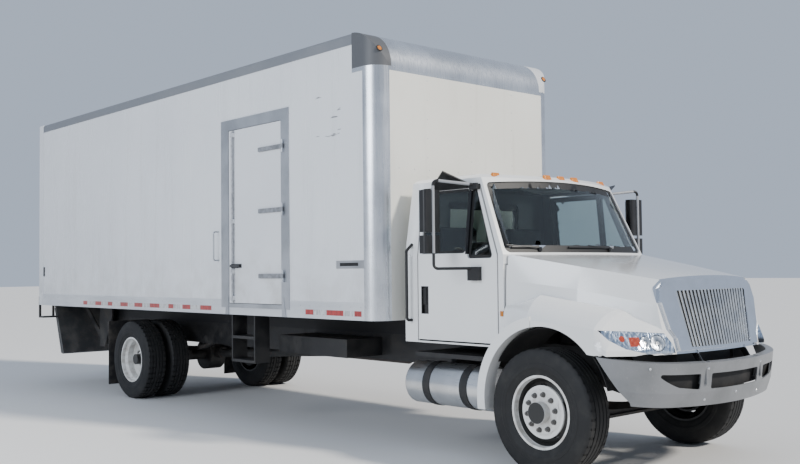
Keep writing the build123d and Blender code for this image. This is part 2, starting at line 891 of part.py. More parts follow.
# Wrap-round bumper: a thin face tucked in below its crease, with lips at top and bottom and three slots
with BuildPart() as front_bumper:
    loft([bumper_area(0, 0), bumper_area(bumper_crease, 0)], ruled=True)
    loft([bumper_area(bumper_crease, 0), bumper_area(bumper_height, bumper_tuck)], ruled=True)
    loft(
        [bumper_area(bumper_wall, bumper_wall), bumper_area(bumper_crease, bumper_wall)],
        ruled=True,
        mode=Mode.SUBTRACT,
    )
    loft(
        [
            bumper_area(bumper_crease, bumper_wall),
            bumper_area(bumper_height - bumper_wall, bumper_wall + bumper_tuck),
        ],
        ruled=True,
        mode=Mode.SUBTRACT,
    )
    loft(
        [
            bumper_area(-bumper_wall, bumper_wall + bumper_lip),
            bumper_area(bumper_height + bumper_wall, bumper_wall + bumper_lip),
        ],
        ruled=True,
        mode=Mode.SUBTRACT,
    )
    # The ends slant forward towards the bottom
    with BuildSketch(side_plane(bumper_half_width + bumper_wall)):
        with BuildLine():
            Polyline(
                (bumper_end_x, bumper_top_z),
                (bumper_end_x + bumper_end_slant, bumper_top_z - bumper_height),
                (bumper_end_x + bumper_end_slant, bumper_top_z - 2 * bumper_height),
                (bumper_end_x - 2 * bumper_end_slant, bumper_top_z - 2 * bumper_height),
                (bumper_end_x - 2 * bumper_end_slant, bumper_top_z + bumper_lip),
                (bumper_end_x, bumper_top_z + bumper_lip),
                close=True,
            )
        make_face()
    extrude(amount=2 * (bumper_half_width + bumper_wall), mode=Mode.SUBTRACT)
    # The three slots, cut straight through the face
    with BuildSketch(
        Plane(origin=(bumper_end_x, 0, bumper_top_z), x_dir=(0, 1, 0), z_dir=bumper_forward)
    ) as slot_face:
        with Locations((0, -(slot_top + slot_bottom) / 2)):
            Rectangle(2 * centre_slot_half_width, slot_bottom - slot_top)
        for side in (-1, 1):
            (mid_y, mid_drop), (low_y, low_drop) = side_slot_curve
            with BuildLine():
                Polyline(
                    (side * low_y, -low_drop),
                    (side * side_slot_inner_y, -slot_bottom),
                    (side * side_slot_inner_y, -slot_top),
                    (side * side_slot_outer_y, -slot_top),
                )
                ThreePointArc(
                    (side * side_slot_outer_y, -slot_top), (side * mid_y, -mid_drop), (side * low_y, -low_drop)
                )
            make_face()
        fillet(
            [v for v in slot_face.vertices() if abs(abs(v.Y) - low_y) > 1 and abs(v.Y) < side_slot_outer_y - 1],
            slot_corner,
        )
    extrude(amount=2 * bumper_reach, mode=Mode.SUBTRACT)
    for side in (-1, 1):
        # Bracket from the rail's nose to the back of the face
        bracket_front_x = front_axle_x + front_overhang - bumper_bracket_reach
        block(
            (frame_front_x, bracket_front_x),
            (
                side * (bumper_bracket_y - bumper_bracket_wall / 2),
                side * (bumper_bracket_y + bumper_bracket_wall / 2),
            ),
            (rail_bottom_z + bumper_bracket_drop / 4, rail_bottom_z + bumper_bracket_drop),
        )
        # Notch in the top lip that the hood's hinge bracket swings through
        block(
            (hood_pivot_x - 2 * bumper_lip, front_axle_x + front_overhang - hood_notch_setback),
            (
                side * (hood_hinge_y - hood_notch_gap),
                side * (hood_hinge_y + hood_hinge_wall + hood_notch_gap),
            ),
            (hood_pivot_z + hood_hinge_radius, bumper_top_z),
            Mode.SUBTRACT,
        )
front_bumper.part.label = "front_bumper"
export_step(front_bumper.part, "parts/front_bumper.step")


def wheel_plane(x, side):
    # A plane through an axle whose own X runs outward and whose own Y is up
    return Plane(origin=(x, 0, axle_z), x_dir=(0, side, 0), z_dir=(side, 0, 0))


def rim_profile(middle_y, outward):
    # Half section of a rim as a closed outline, outward is +1 when its disc side faces out
    half = rim_width / 2
    lip = rim_wall
    points = (
        (-half, flange_radius),
        (-half, bead_radius - lip),
        (-half + 45, bead_radius - lip - 2),
        (-half + 75, rim_well_radius - lip),
        (half - 75, rim_well_radius - lip),
        (half - 45, bead_radius - lip - 2),
        (half, bead_radius - lip),
        (half, flange_radius),
        (half - lip, flange_radius),
        (half - lip, bead_radius),
        (half - 45, bead_radius),
        (half - 75, rim_well_radius),
        (-half + 75, rim_well_radius),
        (-half + 45, bead_radius),
        (-half + lip, bead_radius),
        (-half + lip, flange_radius),
    )
    with BuildLine() as outline:
        Polyline(*[(middle_y + outward * u, r) for u, r in points], close=True)
    make_face(outline.edges())


def tyre_profile(middle_y):
    # Half section of a tyre: beads against the rim, bulging walls and a flat tread
    half = tyre_width / 2
    bead = rim_width / 2 - rim_wall
    shoulder_r = tyre_radius - tyre_shoulder
    with BuildLine() as outline:
        Line((middle_y - bead, bead_radius), (middle_y + bead, bead_radius))
        Line((middle_y + bead, bead_radius), (middle_y + bead, flange_radius + 3))
        ThreePointArc(
            (middle_y + bead, flange_radius + 3),
            (middle_y + half, (bead_radius + tyre_radius) / 2),
            (middle_y + half - 14, shoulder_r),
        )
        Line((middle_y + half - 14, shoulder_r), (middle_y + half - 44, tyre_radius))
        Line((middle_y + half - 44, tyre_radius), (middle_y - half + 44, tyre_radius))
        Line((middle_y - half + 44, tyre_radius), (middle_y - half + 14, shoulder_r))
        ThreePointArc(
            (middle_y - half + 14, shoulder_r),
            (middle_y - half, (bead_radius + tyre_radius) / 2),
            (middle_y - bead, flange_radius + 3),
        )
        Line((middle_y - bead, flange_radius + 3), (middle_y - bead, bead_radius))
    make_face(outline.edges())


def disc_profile(rim_y, face_y):
    # Half section of a wheel disc that cones from the rim well to its bolting face
    with BuildLine() as outline:
        Polyline(
            (face_y, 0),
            (face_y, hub_radius + 50),
            (rim_y, rim_well_radius - rim_wall),
            (rim_y - disc_wall - 6, rim_well_radius - rim_wall),
            (face_y - disc_wall, hub_radius + 44),
            (face_y - disc_wall, 0),
            close=True,
        )
    make_face(outline.edges())


def hand_holes(x, side, start_y, depth):
    # Oval holes through the disc, evenly round the axle
    face = Plane(origin=(x, side * start_y, axle_z), x_dir=(1, 0, 0), z_dir=(0, side, 0))
    with BuildSketch(face) as holes:
        with PolarLocations(hand_hole_pitch_radius, hand_hole_count, start_angle=90):
            Ellipse(hand_hole_width / 2, hand_hole_length / 2)
    extrude(holes.sketch, amount=depth, mode=Mode.SUBTRACT)


for side_name, side in (("left", 1), ("right", -1)):
    front_axis = Axis((front_axle_x, 0, axle_z), (0, side, 0))
    rear_axis = Axis((rear_axle_x, 0, axle_z), (0, side, 0))

    # Front tyre
    with BuildPart() as front_tyre:
        with BuildSketch(wheel_plane(front_axle_x, side)):
            tyre_profile(front_wheel_y)
        revolve(axis=front_axis)
    front_tyre.part.label = f"front_tyre_{side_name}"
    export_step(front_tyre.part, f"parts/front_tyre_{side_name}.step")

    # Front rim, disc, hub and brake drum
    with BuildPart() as front_wheel:
        with BuildSketch(wheel_plane(front_axle_x, side)):
            rim_profile(front_wheel_y, 1)
            disc_profile(front_flange_y - 78, front_disc_face_y)
        revolve(axis=front_axis)
        hand_holes(front_axle_x, side, front_flange_y - 140, 140)
        across(
            front_axle_x, axle_z, hub_radius - 34, (side * (front_disc_face_y - 90), side * front_hub_end_y)
        )
        across(
            front_axle_x, axle_z, drum_radius,
            (side * (front_disc_face_y - disc_wall), side * (front_disc_face_y - disc_wall - drum_depth)),
        )
        across(
            front_axle_x, axle_z, drum_radius - 18,
            (side * (front_disc_face_y - disc_wall - 24), side * (front_disc_face_y - disc_wall - drum_depth)),
            Mode.SUBTRACT,
        )
        across(
            front_axle_x, axle_z, spindle_radius + spindle_clearance,
            (side * (front_disc_face_y - disc_wall), side * (front_disc_face_y - disc_wall - drum_depth)),
            Mode.SUBTRACT,
        )
    front_wheel.part.label = f"front_wheel_{side_name}"
    export_step(front_wheel.part, f"parts/front_wheel_{side_name}.step")

    # Steering knuckle: kingpin, two ears round the axle's eye, spindle and steering arm
    ear_reach = kingpin_eye_height / 2 + knuckle_gap
    ear_top = ear_reach + knuckle_ear
    face_y = kingpin_y + kingpin_eye_radius + knuckle_gap
    with BuildPart() as knuckle:
        for low, high in ((ear_reach, ear_top), (-ear_top, -ear_reach)):
            with BuildSketch(Plane.XY.offset(axle_z + low)):
                with Locations((front_axle_x, side * kingpin_y)):
                    Circle(knuckle_depth / 2)
                with Locations((front_axle_x, side * (kingpin_y + face_y + 20) / 2)):
                    Rectangle(knuckle_depth, face_y + 20 - kingpin_y)
            extrude(amount=high - low)
        block(
            (front_axle_x - knuckle_depth / 2, front_axle_x + knuckle_depth / 2),
            (side * face_y, side * (face_y + 20)),
            (axle_z - ear_top, axle_z + ear_top),
        )
        rod(
            (front_axle_x, side * kingpin_y, axle_z - ear_top),
            (front_axle_x, side * kingpin_y, axle_z + ear_top),
            kingpin_radius,
        )
        across(
            front_axle_x, axle_z, spindle_radius,
            (side * face_y, side * (front_disc_face_y - disc_wall - 40)),
        )
        arm_top_z = axle_z - ear_top + 4
        with BuildSketch(Plane.XY.offset(arm_top_z - steer_arm_thickness)):
            with BuildLine():
                Polyline(
                    (front_axle_x - 30, side * (kingpin_y + 30)),
                    (front_axle_x + 30, side * (kingpin_y + 30)),
                    (front_axle_x + 30, side * (kingpin_y - 30)),
                    (front_axle_x - steer_arm_length, side * (kingpin_y - steer_arm_inset - 26)),
                    (front_axle_x - steer_arm_length, side * (kingpin_y - steer_arm_inset + 26)),
                    close=True,
                )
            make_face()
            with Locations((front_axle_x - steer_arm_length, side * (kingpin_y - steer_arm_inset))):
                Circle(30)
        extrude(amount=steer_arm_thickness)
    knuckle.part.label = f"knuckle_{side_name}"
    export_step(knuckle.part, f"parts/knuckle_{side_name}.step")

    # Two rear tyres side by side
    with BuildPart() as rear_tyres:
        with BuildSketch(wheel_plane(rear_axle_x, side)):
            tyre_profile(rear_wheel_y)
            tyre_profile(inner_wheel_y)
        revolve(axis=rear_axis)
    rear_tyres.part.label = f"rear_tyres_{side_name}"
    export_step(rear_tyres.part, f"parts/rear_tyres_{side_name}.step")

    # Two rear rims whose discs meet, with the hub and brake drum
    with BuildPart() as rear_wheels:
        with BuildSketch(wheel_plane(rear_axle_x, side)):
            rim_profile(rear_wheel_y, 1)
            rim_profile(inner_wheel_y, 1)
            with BuildLine():
                Polyline(
                    (dual_joint_y + disc_wall, 0),
                    (dual_joint_y + disc_wall, hub_radius + 50),
                    (rear_wheel_y - 34, rim_well_radius - rim_wall),
                    (rear_wheel_y - 54, rim_well_radius - rim_wall),
                    (dual_joint_y, hub_radius + 60),
                    (inner_wheel_y + 54, rim_well_radius - rim_wall),
                    (inner_wheel_y + 34, rim_well_radius - rim_wall),
                    (dual_joint_y - disc_wall, hub_radius + 50),
                    (dual_joint_y - disc_wall, 0),
                    close=True,
                )
            make_face()
        revolve(axis=rear_axis)
        hand_holes(rear_axle_x, side, dual_joint_y - 160, 320)
        across(rear_axle_x, axle_z, hub_radius - 14, (side * (dual_joint_y - 60), side * (rear_hub_end_y - 90)))
        across(rear_axle_x, axle_z, hub_radius - 52, (side * (rear_hub_end_y - 90), side * rear_hub_end_y))
        drum_open_y = inner_wheel_y - rim_width / 2
        across(rear_axle_x, axle_z, drum_radius, (side * drum_open_y, side * (dual_joint_y - disc_wall)))
        across(
            rear_axle_x, axle_z, drum_radius - 18,
            (side * (drum_open_y - 1), side * (dual_joint_y - 60)),
            Mode.SUBTRACT,
        )
        across(
            rear_axle_x, axle_z, spindle_radius + spindle_clearance,
            (side * (dual_joint_y - 61), side * (dual_joint_y - 50)),
            Mode.SUBTRACT,
        )
    rear_wheels.part.label = f"rear_wheels_{side_name}"
    export_step(rear_wheels.part, f"parts/rear_wheels_{side_name}.step")

# Tie rod between the two steering arms
with BuildPart() as tie_rod:
    rod_end_y = kingpin_y - steer_arm_inset
    rod_x = front_axle_x - steer_arm_length
    rod_z = axle_z - kingpin_eye_height / 2 - knuckle_gap - knuckle_ear - steer_arm_thickness - tie_rod_gap - 12
    across(rod_x, rod_z, tie_rod_radius, (-rod_end_y, rod_end_y))
    for side in (-1, 1):
        rod((rod_x, side * rod_end_y, rod_z - 26), (rod_x, side * rod_end_y, rod_z + 16), 27)
tie_rod.part.label = "tie_rod"
export_step(tie_rod.part, "parts/tie_rod.step")


def cab_section(z, half_width, front_setback, bow, back_setback, inset):
    # Plan of the cab at one height: straight back and sides, bowed front
    front_x = front_axle_x - front_setback - inset
    back_x = front_axle_x - back_setback + inset
    half = half_width - inset
    with BuildSketch(Plane.XY.offset(z)) as section:
        with BuildLine():
            ThreePointArc((front_x, -half), (front_x + bow, 0), (front_x, half))
            Line((front_x, half), (back_x, half))
            Line((back_x, half), (back_x, -half))
            Line((back_x, -half), (front_x, -half))
        make_face()
    return section.sketch


def eave_section(z, inset):
    # Plan of the greenhouse at its eave, at a height and inset of its own
    return cab_section(
        z, roof_half_width, windshield_top_setback, windshield_top_bow, cab_back - cab_back_lean, inset
    )


def belt_section(z, inset):
    # Plan of the cab at its belt
    return cab_section(z, cab_half_width, cowl_setback, windshield_base_bow, cab_back, inset)


def cab_volume(inset):
    # The cab's outer or inner form: a straight lower box, a leaning greenhouse and a rounded roof
    with BuildPart() as volume:
        block(
            (front_axle_x - cab_back + inset, front_axle_x - cowl_setback - inset),
            (-cab_half_width + inset, cab_half_width - inset),
            (cab_floor_z + inset, belt_z),
        )
        extrude(belt_section(cowl_z + inset, inset), amount=belt_z - cowl_z - inset)
        loft([belt_section(belt_z, inset), eave_section(eave_z - inset, inset)], ruled=True)
        loft([eave_section(z - inset, inset + layer_inset) for z, layer_inset in roof_layers], ruled=True)
    return volume.part


def door_outline(side, inset, depth):
    # A cab door's side outline, shrunk by an inset, cut from outside the skin to a depth within it
    rear_x = front_axle_x - door_rear + inset
    front_x = front_axle_x - door_front - inset
    with BuildSketch(side_plane(side * (cab_half_width - depth))) as outline:
        with BuildLine():
            Polyline(
                (rear_x, door_bottom_z + inset),
                (front_x, door_bottom_z + inset),
                (front_x, belt_z - inset / 2),
                (front_axle_x - door_front_high - inset, door_top_z - inset),
                (rear_x, door_top_z - inset),
                close=True,
            )
        make_face()
    return outline.sketch


door_hinge_x = front_axle_x - door_front - door_hinge_back
door_hinge_y = cab_half_width - door_hinge_inset
cab_outer = cab_volume(0)
cab_inner = cab_volume(cab_wall)


def glass_shell(outer_inset, inner_inset):
    # The greenhouse between two insets, as a thin skin that window cuts are taken from
    with BuildPart() as core:
        loft([belt_section(belt_z - 1, inner_inset), eave_section(eave_z + 1, inner_inset)], ruled=True)
    with BuildPart() as shell:
        loft([belt_section(belt_z, outer_inset), eave_section(eave_z, outer_inset)], ruled=True)
        add(core.part, mode=Mode.SUBTRACT)
    return shell.part


# Windshield opening seen from the front, wide at the base and bowed at the top
with BuildPart() as windshield_cutter:
    with BuildSketch(cross_plane(front_axle_x - windshield_top_setback - cab_wall)) as opening:
        with BuildLine():
            Polyline(
                (windshield_corner_half_width, windshield_corner_z),
                (windshield_base_half_width, windshield_base_z),
                (-windshield_base_half_width, windshield_base_z),
                (-windshield_corner_half_width, windshield_corner_z),
            )
            ThreePointArc(
                (-windshield_corner_half_width, windshield_corner_z),
                (0, windshield_top_z),
                (windshield_corner_half_width, windshield_corner_z),
            )
        make_face()
        fillet(opening.vertices(), windshield_radius)
    extrude(amount=windshield_top_setback)

with BuildPart() as rear_window_cutter:
    with BuildSketch(cross_plane(front_axle_x - cab_back - 50)):
        with Locations((0, (rear_window_bottom_z + rear_window_top_z) / 2)):
            RectangleRounded(
                2 * rear_window_half_width, rear_window_top_z - rear_window_bottom_z, rear_window_radius
            )
    extrude(amount=200)

# Cab shell: hollow, with its door openings, windshield opening and rear window cut
with BuildPart() as cab_shell:
    add(cab_outer)
    add(cab_inner, mode=Mode.SUBTRACT)
    add(windshield_cutter.part, mode=Mode.SUBTRACT)
    add(rear_window_cutter.part, mode=Mode.SUBTRACT)
    for side in (-1, 1):
        shell_depth = door_cut_depth + door_swing_gap
        extrude(
            door_outline(side, -door_gap / 2, shell_depth), amount=-side * 2 * shell_depth, mode=Mode.SUBTRACT
        )
        # The door's lower hinge pin stands up from the sill
        rod(
            (door_hinge_x, side * door_hinge_y, cab_floor_z + cab_wall / 4),
            (door_hinge_x, side * door_hinge_y, door_bottom_z + door_pin_length),
            door_pin_radius,
        )
cab_shell.part.label = "cab_shell"
export_step(cab_shell.part, "parts/cab_shell.step")

# Straps and brackets of the tank, the cab steps over it and the door side steps
with BuildPart() as steps:
    for inset in strap_insets:
        strap_x = tank_front_x - inset
        with BuildSketch(cross_plane(strap_x - strap_width / 2)):
            with Locations((-tank_y, tank_z)):
                Circle(tank_radius + strap_wall)
        extrude(amount=strap_width)
        block(
            (strap_x - strap_width / 2, strap_x + strap_width / 2),
            (-tank_y + tank_radius - 40, -frame_half_width),
            (tank_z - 60, cab_step_top_z - cab_step_wall),
        )
    rod(
        (tank_front_x + 1, -tank_y, tank_z),
        (tank_front_x - tank_length - 1, -tank_y, tank_z),
        tank_radius,
        Mode.SUBTRACT,
    )
    step_front_x = front_axle_x - cab_step_front
    for side in (-1, 1):
        block(
            (step_front_x - cab_step_length, step_front_x),
            (side * frame_half_width, side * (cab_half_width - 10)),
            (cab_step_top_z - cab_step_wall, cab_step_top_z),
        )
    # Two hanging treads stand in for the tank on the left side
    for leg_x in (step_front_x - 60, step_front_x - cab_step_length + 100):
        block(
            (leg_x - 40, leg_x),
            (frame_half_width, cab_half_width - 10),
            (tank_z - 60, cab_step_top_z - cab_step_wall),
        )
    block(
        (step_front_x - cab_step_length + 60, step_front_x - 60),
        (cab_half_width - 10 - cab_step_depth, cab_half_width - 10),
        (tank_z - 60, tank_z - 60 + cab_step_wall),
    )
    for side in (-1, 1):
        bar_x = front_axle_x - grab_bar_setback
        bar_y = side * (cab_half_width + grab_bar_reach)
        tube(
            (
                (bar_x, side * cab_half_width, grab_bar_bottom_z),
                (bar_x, bar_y, grab_bar_bottom_z),
                (bar_x, bar_y, grab_bar_top_z - grab_bar_lean),
                (bar_x, side * (cab_half_width - 12), grab_bar_top_z),
            ),
            grab_bar_radius,
            2 * grab_bar_radius,
        )
    # Ladder below the side door
    step_x = front_axle_x - side_step_setback
    for end in (-1, 1):
        leg_x = step_x + end * (side_step_width - side_step_leg) / 2
        block(
            (leg_x - side_step_leg / 2, leg_x + side_step_leg / 2),
            (-body_half_width + 30, -body_half_width + 30 + side_step_depth),
            (side_step_bottom_z, body_bottom_z),
        )
    for tread_z in (side_step_bottom_z, side_step_bottom_z + 260):
        block(
            (step_x - side_step_width / 2, step_x + side_step_width / 2),
            (-body_half_width + 30, -body_half_width + 30 + side_step_depth),
            (tread_z, tread_z + side_step_tread),
        )
    add(cab_outer, mode=Mode.SUBTRACT)
steps.part.label = "steps"
export_step(steps.part, "parts/steps.step")

# Windshield and rear window glass, inside their openings
glass_skin = glass_shell(glass_inset, glass_inset + glass_wall)
with BuildPart() as cab_glass:
    add(glass_skin)
    add(windshield_cutter.part, mode=Mode.INTERSECT)
with BuildPart() as rear_glass:
    add(glass_skin)
    add(rear_window_cutter.part, mode=Mode.INTERSECT)
with BuildPart() as cab_glass_pair:
    add(cab_glass.part)
    add(rear_glass.part)
cab_glass_pair.part.label = "cab_glass"
export_step(cab_glass_pair.part, "parts/cab_glass.step")

# Dashboard with the steering column and wheel
with BuildPart() as dashboard:
    dash_front_x = front_axle_x - cowl_setback - cab_wall
    with BuildSketch(side_plane(cab_half_width - cab_wall - door_wall)):
        with BuildLine():
            Polyline(
                (dash_front_x, dash_top_z - dash_height - 180),
                (dash_front_x, dash_top_z - 40),
                (dash_front_x - 90, dash_top_z),
                (dash_front_x - dash_depth, dash_top_z - 40),
                (dash_front_x - dash_depth + 40, dash_top_z - dash_height),
                (dash_front_x - 120, dash_top_z - dash_height - 180),
                close=True,
            )
        make_face()
    extrude(amount=2 * (cab_half_width - cab_wall - door_wall))
    wheel_centre = Vector(front_axle_x - steering_wheel_setback, steering_wheel_y, steering_wheel_z)
    column_dir = Vector(cos(radians(steering_wheel_tilt)), 0, -sin(radians(steering_wheel_tilt)))
    rod(tuple(wheel_centre), tuple(wheel_centre + column_dir * 330), 32)
    steering_plane = Plane(origin=wheel_centre, x_dir=(0, 1, 0), z_dir=column_dir)
    with BuildSketch(steering_plane):
        Circle(steering_wheel_radius + steering_rim_radius)
        Circle(steering_wheel_radius - steering_rim_radius, mode=Mode.SUBTRACT)
        Rectangle(2 * steering_wheel_radius, 2 * steering_rim_radius)
        Circle(60)
    extrude(amount=2 * steering_rim_radius)
dashboard.part.label = "dashboard"
export_step(dashboard.part, "parts/dashboard.step")

# Two seats, each a cushion and a back on a base that stands on the cab floor
with BuildPart() as seats:
    for side in (-1, 1):
        front_x = front_axle_x - seat_front_setback
        block(
            (front_x - seat_depth, front_x),
            (side * seat_y - seat_width / 2, side * seat_y + seat_width / 2),
            (seat_z - seat_cushion, seat_z),
        )
        block(
            (front_x - seat_depth + 20, front_x - 80),
            (side * seat_y - seat_base_width / 2, side * seat_y + seat_base_width / 2),
            (cab_floor_z + cab_wall, seat_z - seat_cushion),
        )
        block(
            (front_x - seat_depth, front_x - seat_depth + seat_back_wall),
            (side * seat_y - seat_width / 2, side * seat_y + seat_width / 2),
            (seat_z, seat_z + seat_back_height),
        )
seats.part.label = "seats"
export_step(seats.part, "parts/seats.step")


def pane_outline(side, corners):
    # One window's outline with rounded corners, drawn in a side plane within the skin
    with BuildSketch(side_plane(side * (cab_half_width - door_cut_depth))) as outline:
        with BuildLine():
            Polyline(*corners, close=True)
        make_face()
        fillet(outline.vertices(), door_window_radius)
    return outline.sketch


main_pane = (
    (front_axle_x - door_window_rear, door_window_sill_z),
    (front_axle_x - vent_rear - window_post, door_window_sill_z),
    (front_axle_x - vent_rear - window_post, door_window_top_z),
    (front_axle_x - door_window_rear, door_window_top_z),
)
vent_pane = (
    (front_axle_x - vent_rear, vent_bottom_z),
    (front_axle_x - vent_front_low, vent_bottom_z),
    (front_axle_x - vent_front_high, door_window_top_z),
    (front_axle_x - vent_rear, door_window_top_z),
)

for side_name, side in (("left", 1), ("right", -1)):
    # Door leaf: a slice of the cab's own side, with its windows and handle recess cut
    with BuildPart() as cab_door:
        extrude(door_outline(side, door_gap / 2, door_cut_depth), amount=-side * 2 * door_cut_depth)
        add(cab_outer, mode=Mode.INTERSECT)
        add(cab_volume(door_wall), mode=Mode.SUBTRACT)
        for pane in (main_pane, vent_pane):
            extrude(pane_outline(side, pane), amount=-side * 2 * door_cut_depth, mode=Mode.SUBTRACT)
        rod(
            (door_hinge_x, side * door_hinge_y, cab_floor_z),
            (door_hinge_x, side * door_hinge_y, door_bottom_z + door_pin_length + door_gap / 2),
            door_pin_radius + door_pin_clearance,
            Mode.SUBTRACT,
        )
        # Handle: a recess with a pull bar in its upper part
        block(
            (front_axle_x - handle_setback, front_axle_x - handle_setback + handle_width),
            (side * (cab_half_width - handle_depth), side * (cab_half_width + handle_depth)),
            (handle_bottom_z, handle_bottom_z + handle_length),
            Mode.SUBTRACT,
        )
        block(
            (
                front_axle_x - handle_setback + handle_border,
                front_axle_x - handle_setback + handle_width - handle_border,
            ),
            (side * (cab_half_width - handle_depth - glass_wall / 4), side * (cab_half_width - glass_wall / 2)),
            (handle_bottom_z + handle_length / 3, handle_bottom_z + handle_length - handle_border),
        )
    cab_door.part.label = f"cab_door_{side_name}"
    export_step(cab_door.part, f"parts/cab_door_{side_name}.step")

    # Door glass: both panes, set into the middle of the door
    with BuildPart() as door_glass:
        for pane in (main_pane, vent_pane):
            extrude(pane_outline(side, pane), amount=-side * 2 * door_cut_depth)
        add(cab_volume(door_glass_inset), mode=Mode.INTERSECT)
        add(cab_volume(door_glass_inset + glass_wall), mode=Mode.SUBTRACT)
    door_glass.part.label = f"door_glass_{side_name}"
    export_step(door_glass.part, f"parts/door_glass_{side_name}.step")

for (side_name, side), post_setback in zip((("left", 1), ("right", -1)), mirror_post_setbacks):
    # Mirror: a tube from the door's foot round to its top corner, two heads and a bracing plate
    with BuildPart() as mirror_set:
        post_x = front_axle_x - post_setback
        foot_x = front_axle_x - mirror_foot_setback
        arm_x = front_axle_x - mirror_arm_setback
        arm_y = roof_half_width + mirror_arm_wall
        tube(
            (
                (foot_x, side * (cab_half_width + mirror_tube_radius), mirror_foot_z),
                (post_x, side * mirror_post_y, mirror_foot_z),
                (post_x, side * mirror_post_y, mirror_top_z),
                (arm_x, side * arm_y, mirror_arm_z),
            ),
            mirror_tube_radius,
            3 * mirror_tube_radius,
        )
        block(
            (foot_x - mirror_foot_length / 2, foot_x + mirror_foot_length / 2),
            (side * (cab_half_width - mirror_arm_wall), side * (cab_half_width + mirror_arm_wall)),
            (mirror_foot_z - mirror_foot_height + mirror_tube_radius, mirror_foot_z + mirror_tube_radius),
        )
        block(
            (arm_x - mirror_arm_wall, arm_x + mirror_arm_wall),
            (side * roof_half_width, side * (arm_y + mirror_tube_radius)),
            (door_top_z - mirror_arm_wall, door_top_z - door_gap / 2),
        )
        block(
            (arm_x - mirror_arm_wall, arm_x + mirror_arm_wall),
            (side * (arm_y - mirror_tube_radius), side * (arm_y + mirror_tube_radius)),
            (door_top_z - mirror_arm_wall, mirror_arm_z + mirror_tube_radius),
        )
        # Bracing plate: a triangle from the door's top rail up and out beside the tube
        plate_z = door_top_z - 2 * mirror_plate_wall
        corner = Vector(arm_x, side * roof_half_width, plate_z)
        along = Vector(-mirror_plate_length, 0, 0)
        apex = Vector(arm_x - mirror_plate_apex_back, side * mirror_plate_apex_y, mirror_plate_apex_z)
        plate = Plane(origin=corner, x_dir=along, z_dir=along.cross(apex - corner))
        apex_point = plate.to_local_coords(apex)
        with BuildSketch(plate):
            with BuildLine():
                Polyline((0, 0), (mirror_plate_length, 0), (apex_point.X, apex_point.Y), close=True)
            make_face()
        extrude(amount=mirror_plate_wall / 2, both=True)
        head_z = mirror_head_bottom_z
        for low_z, height in (
            (head_z, mirror_head_height),
            (head_z - mirror_spot_gap - mirror_spot_height, mirror_spot_height),
        ):
            with BuildSketch(Plane.XY.offset(low_z)):
                with Locations((post_x - mirror_head_depth / 2, side * mirror_post_y)):
                    RectangleRounded(mirror_head_depth, mirror_head_width, mirror_head_radius)
            extrude(amount=height)
        add(cab_outer, mode=Mode.SUBTRACT)
    mirror_set.part.label = f"mirror_{side_name}"
    export_step(mirror_set.part, f"parts/mirror_{side_name}.step")


def nose_section(station, shift, inset):
    # Cross section of the nose: crowned top, sides that lean out to a seam and on down to the foot
    reach, crease_y, crease_z, seam_y, seam_z, foot_y, foot_z = station
    left_side = (
        (crease_y - inset, crease_z - inset),
        (seam_y - inset, seam_z),
        (foot_y - inset, foot_z - 2 * inset),
    )
    right_side = [(-y, z) for y, z in reversed(left_side)]
    with BuildSketch(cross_plane(front_axle_x + reach + shift)) as section:
        with BuildLine():
            Polyline(*left_side, *right_side)
            ThreePointArc(right_side[-1], (0, crease_z + hood_crown - inset), left_side[0])
        make_face()
    return section.sketch


def fender_section(station, side, shift, inset):
    # Cross section of a fender: flat inside the nose, an arc down to its lip, then a slanted foot
    reach, crown_y, crown_z, lip_y, lip_z, toe_y = station
    bottom_z = fender_bottom_z - 3 * inset
    crown = (side * (crown_y - inset / 2), crown_z - inset)
    lip = (side * (lip_y - inset), lip_z - inset / 2)
    bulge_y = side * ((crown_y + lip_y) / 2 + fender_bulge * (lip_y - crown_y) - inset)
    bulge_z = (crown_z + lip_z) / 2 + fender_bulge * (crown_z - lip_z) - inset
    toe_y = side * (toe_y - inset)
    inner_y = side * fender_inner_y
    with BuildSketch(cross_plane(front_axle_x + reach + shift)) as section:
        with BuildLine():
            ThreePointArc(crown, (bulge_y, bulge_z), lip)
            Polyline(
                lip, (toe_y, fender_toe_z), (toe_y, bottom_z), (inner_y, bottom_z), (inner_y, crown[1]), crown
            )
        make_face()
    return section.sketch


def nose_volume(inset, overrun):
    # The tapering nose between the cowl and the grille, run past both ends by an overrun
    last = len(nose_stations) - 1
    with BuildPart() as nose:
        sections = []
        for index, station in enumerate(nose_stations):
            shift = -overrun if index == 0 else overrun if index == last else 0
            sections.append(nose_section(station, shift, inset))
        loft(sections, ruled=True)
    return nose.part


def fender_volume(side, inset, overrun):
    # One fender through its cross sections
    last = len(fender_stations) - 1
    with BuildPart() as fender:
        sections = []
        for index, station in enumerate(fender_stations):
            shift = -overrun if index == 0 else -inset if index == last else 0
            sections.append(fender_section(station, side, shift, inset))
        loft(sections, ruled=True)
    return fender.part


arch_x = front_axle_x - arch_setback


def headlight_plane(side):
    # A plane on the slanted front of a fender whose own X runs inward and forward
    tip = (front_axle_x + headlight_tip_reach, side * headlight_tip_y, 0)
    along = Vector(cos(radians(headlight_turn)), -side * sin(radians(headlight_turn)), 0)
    return Plane(origin=tip, x_dir=along, z_dir=along.cross(Vector(0, 0, 1)))


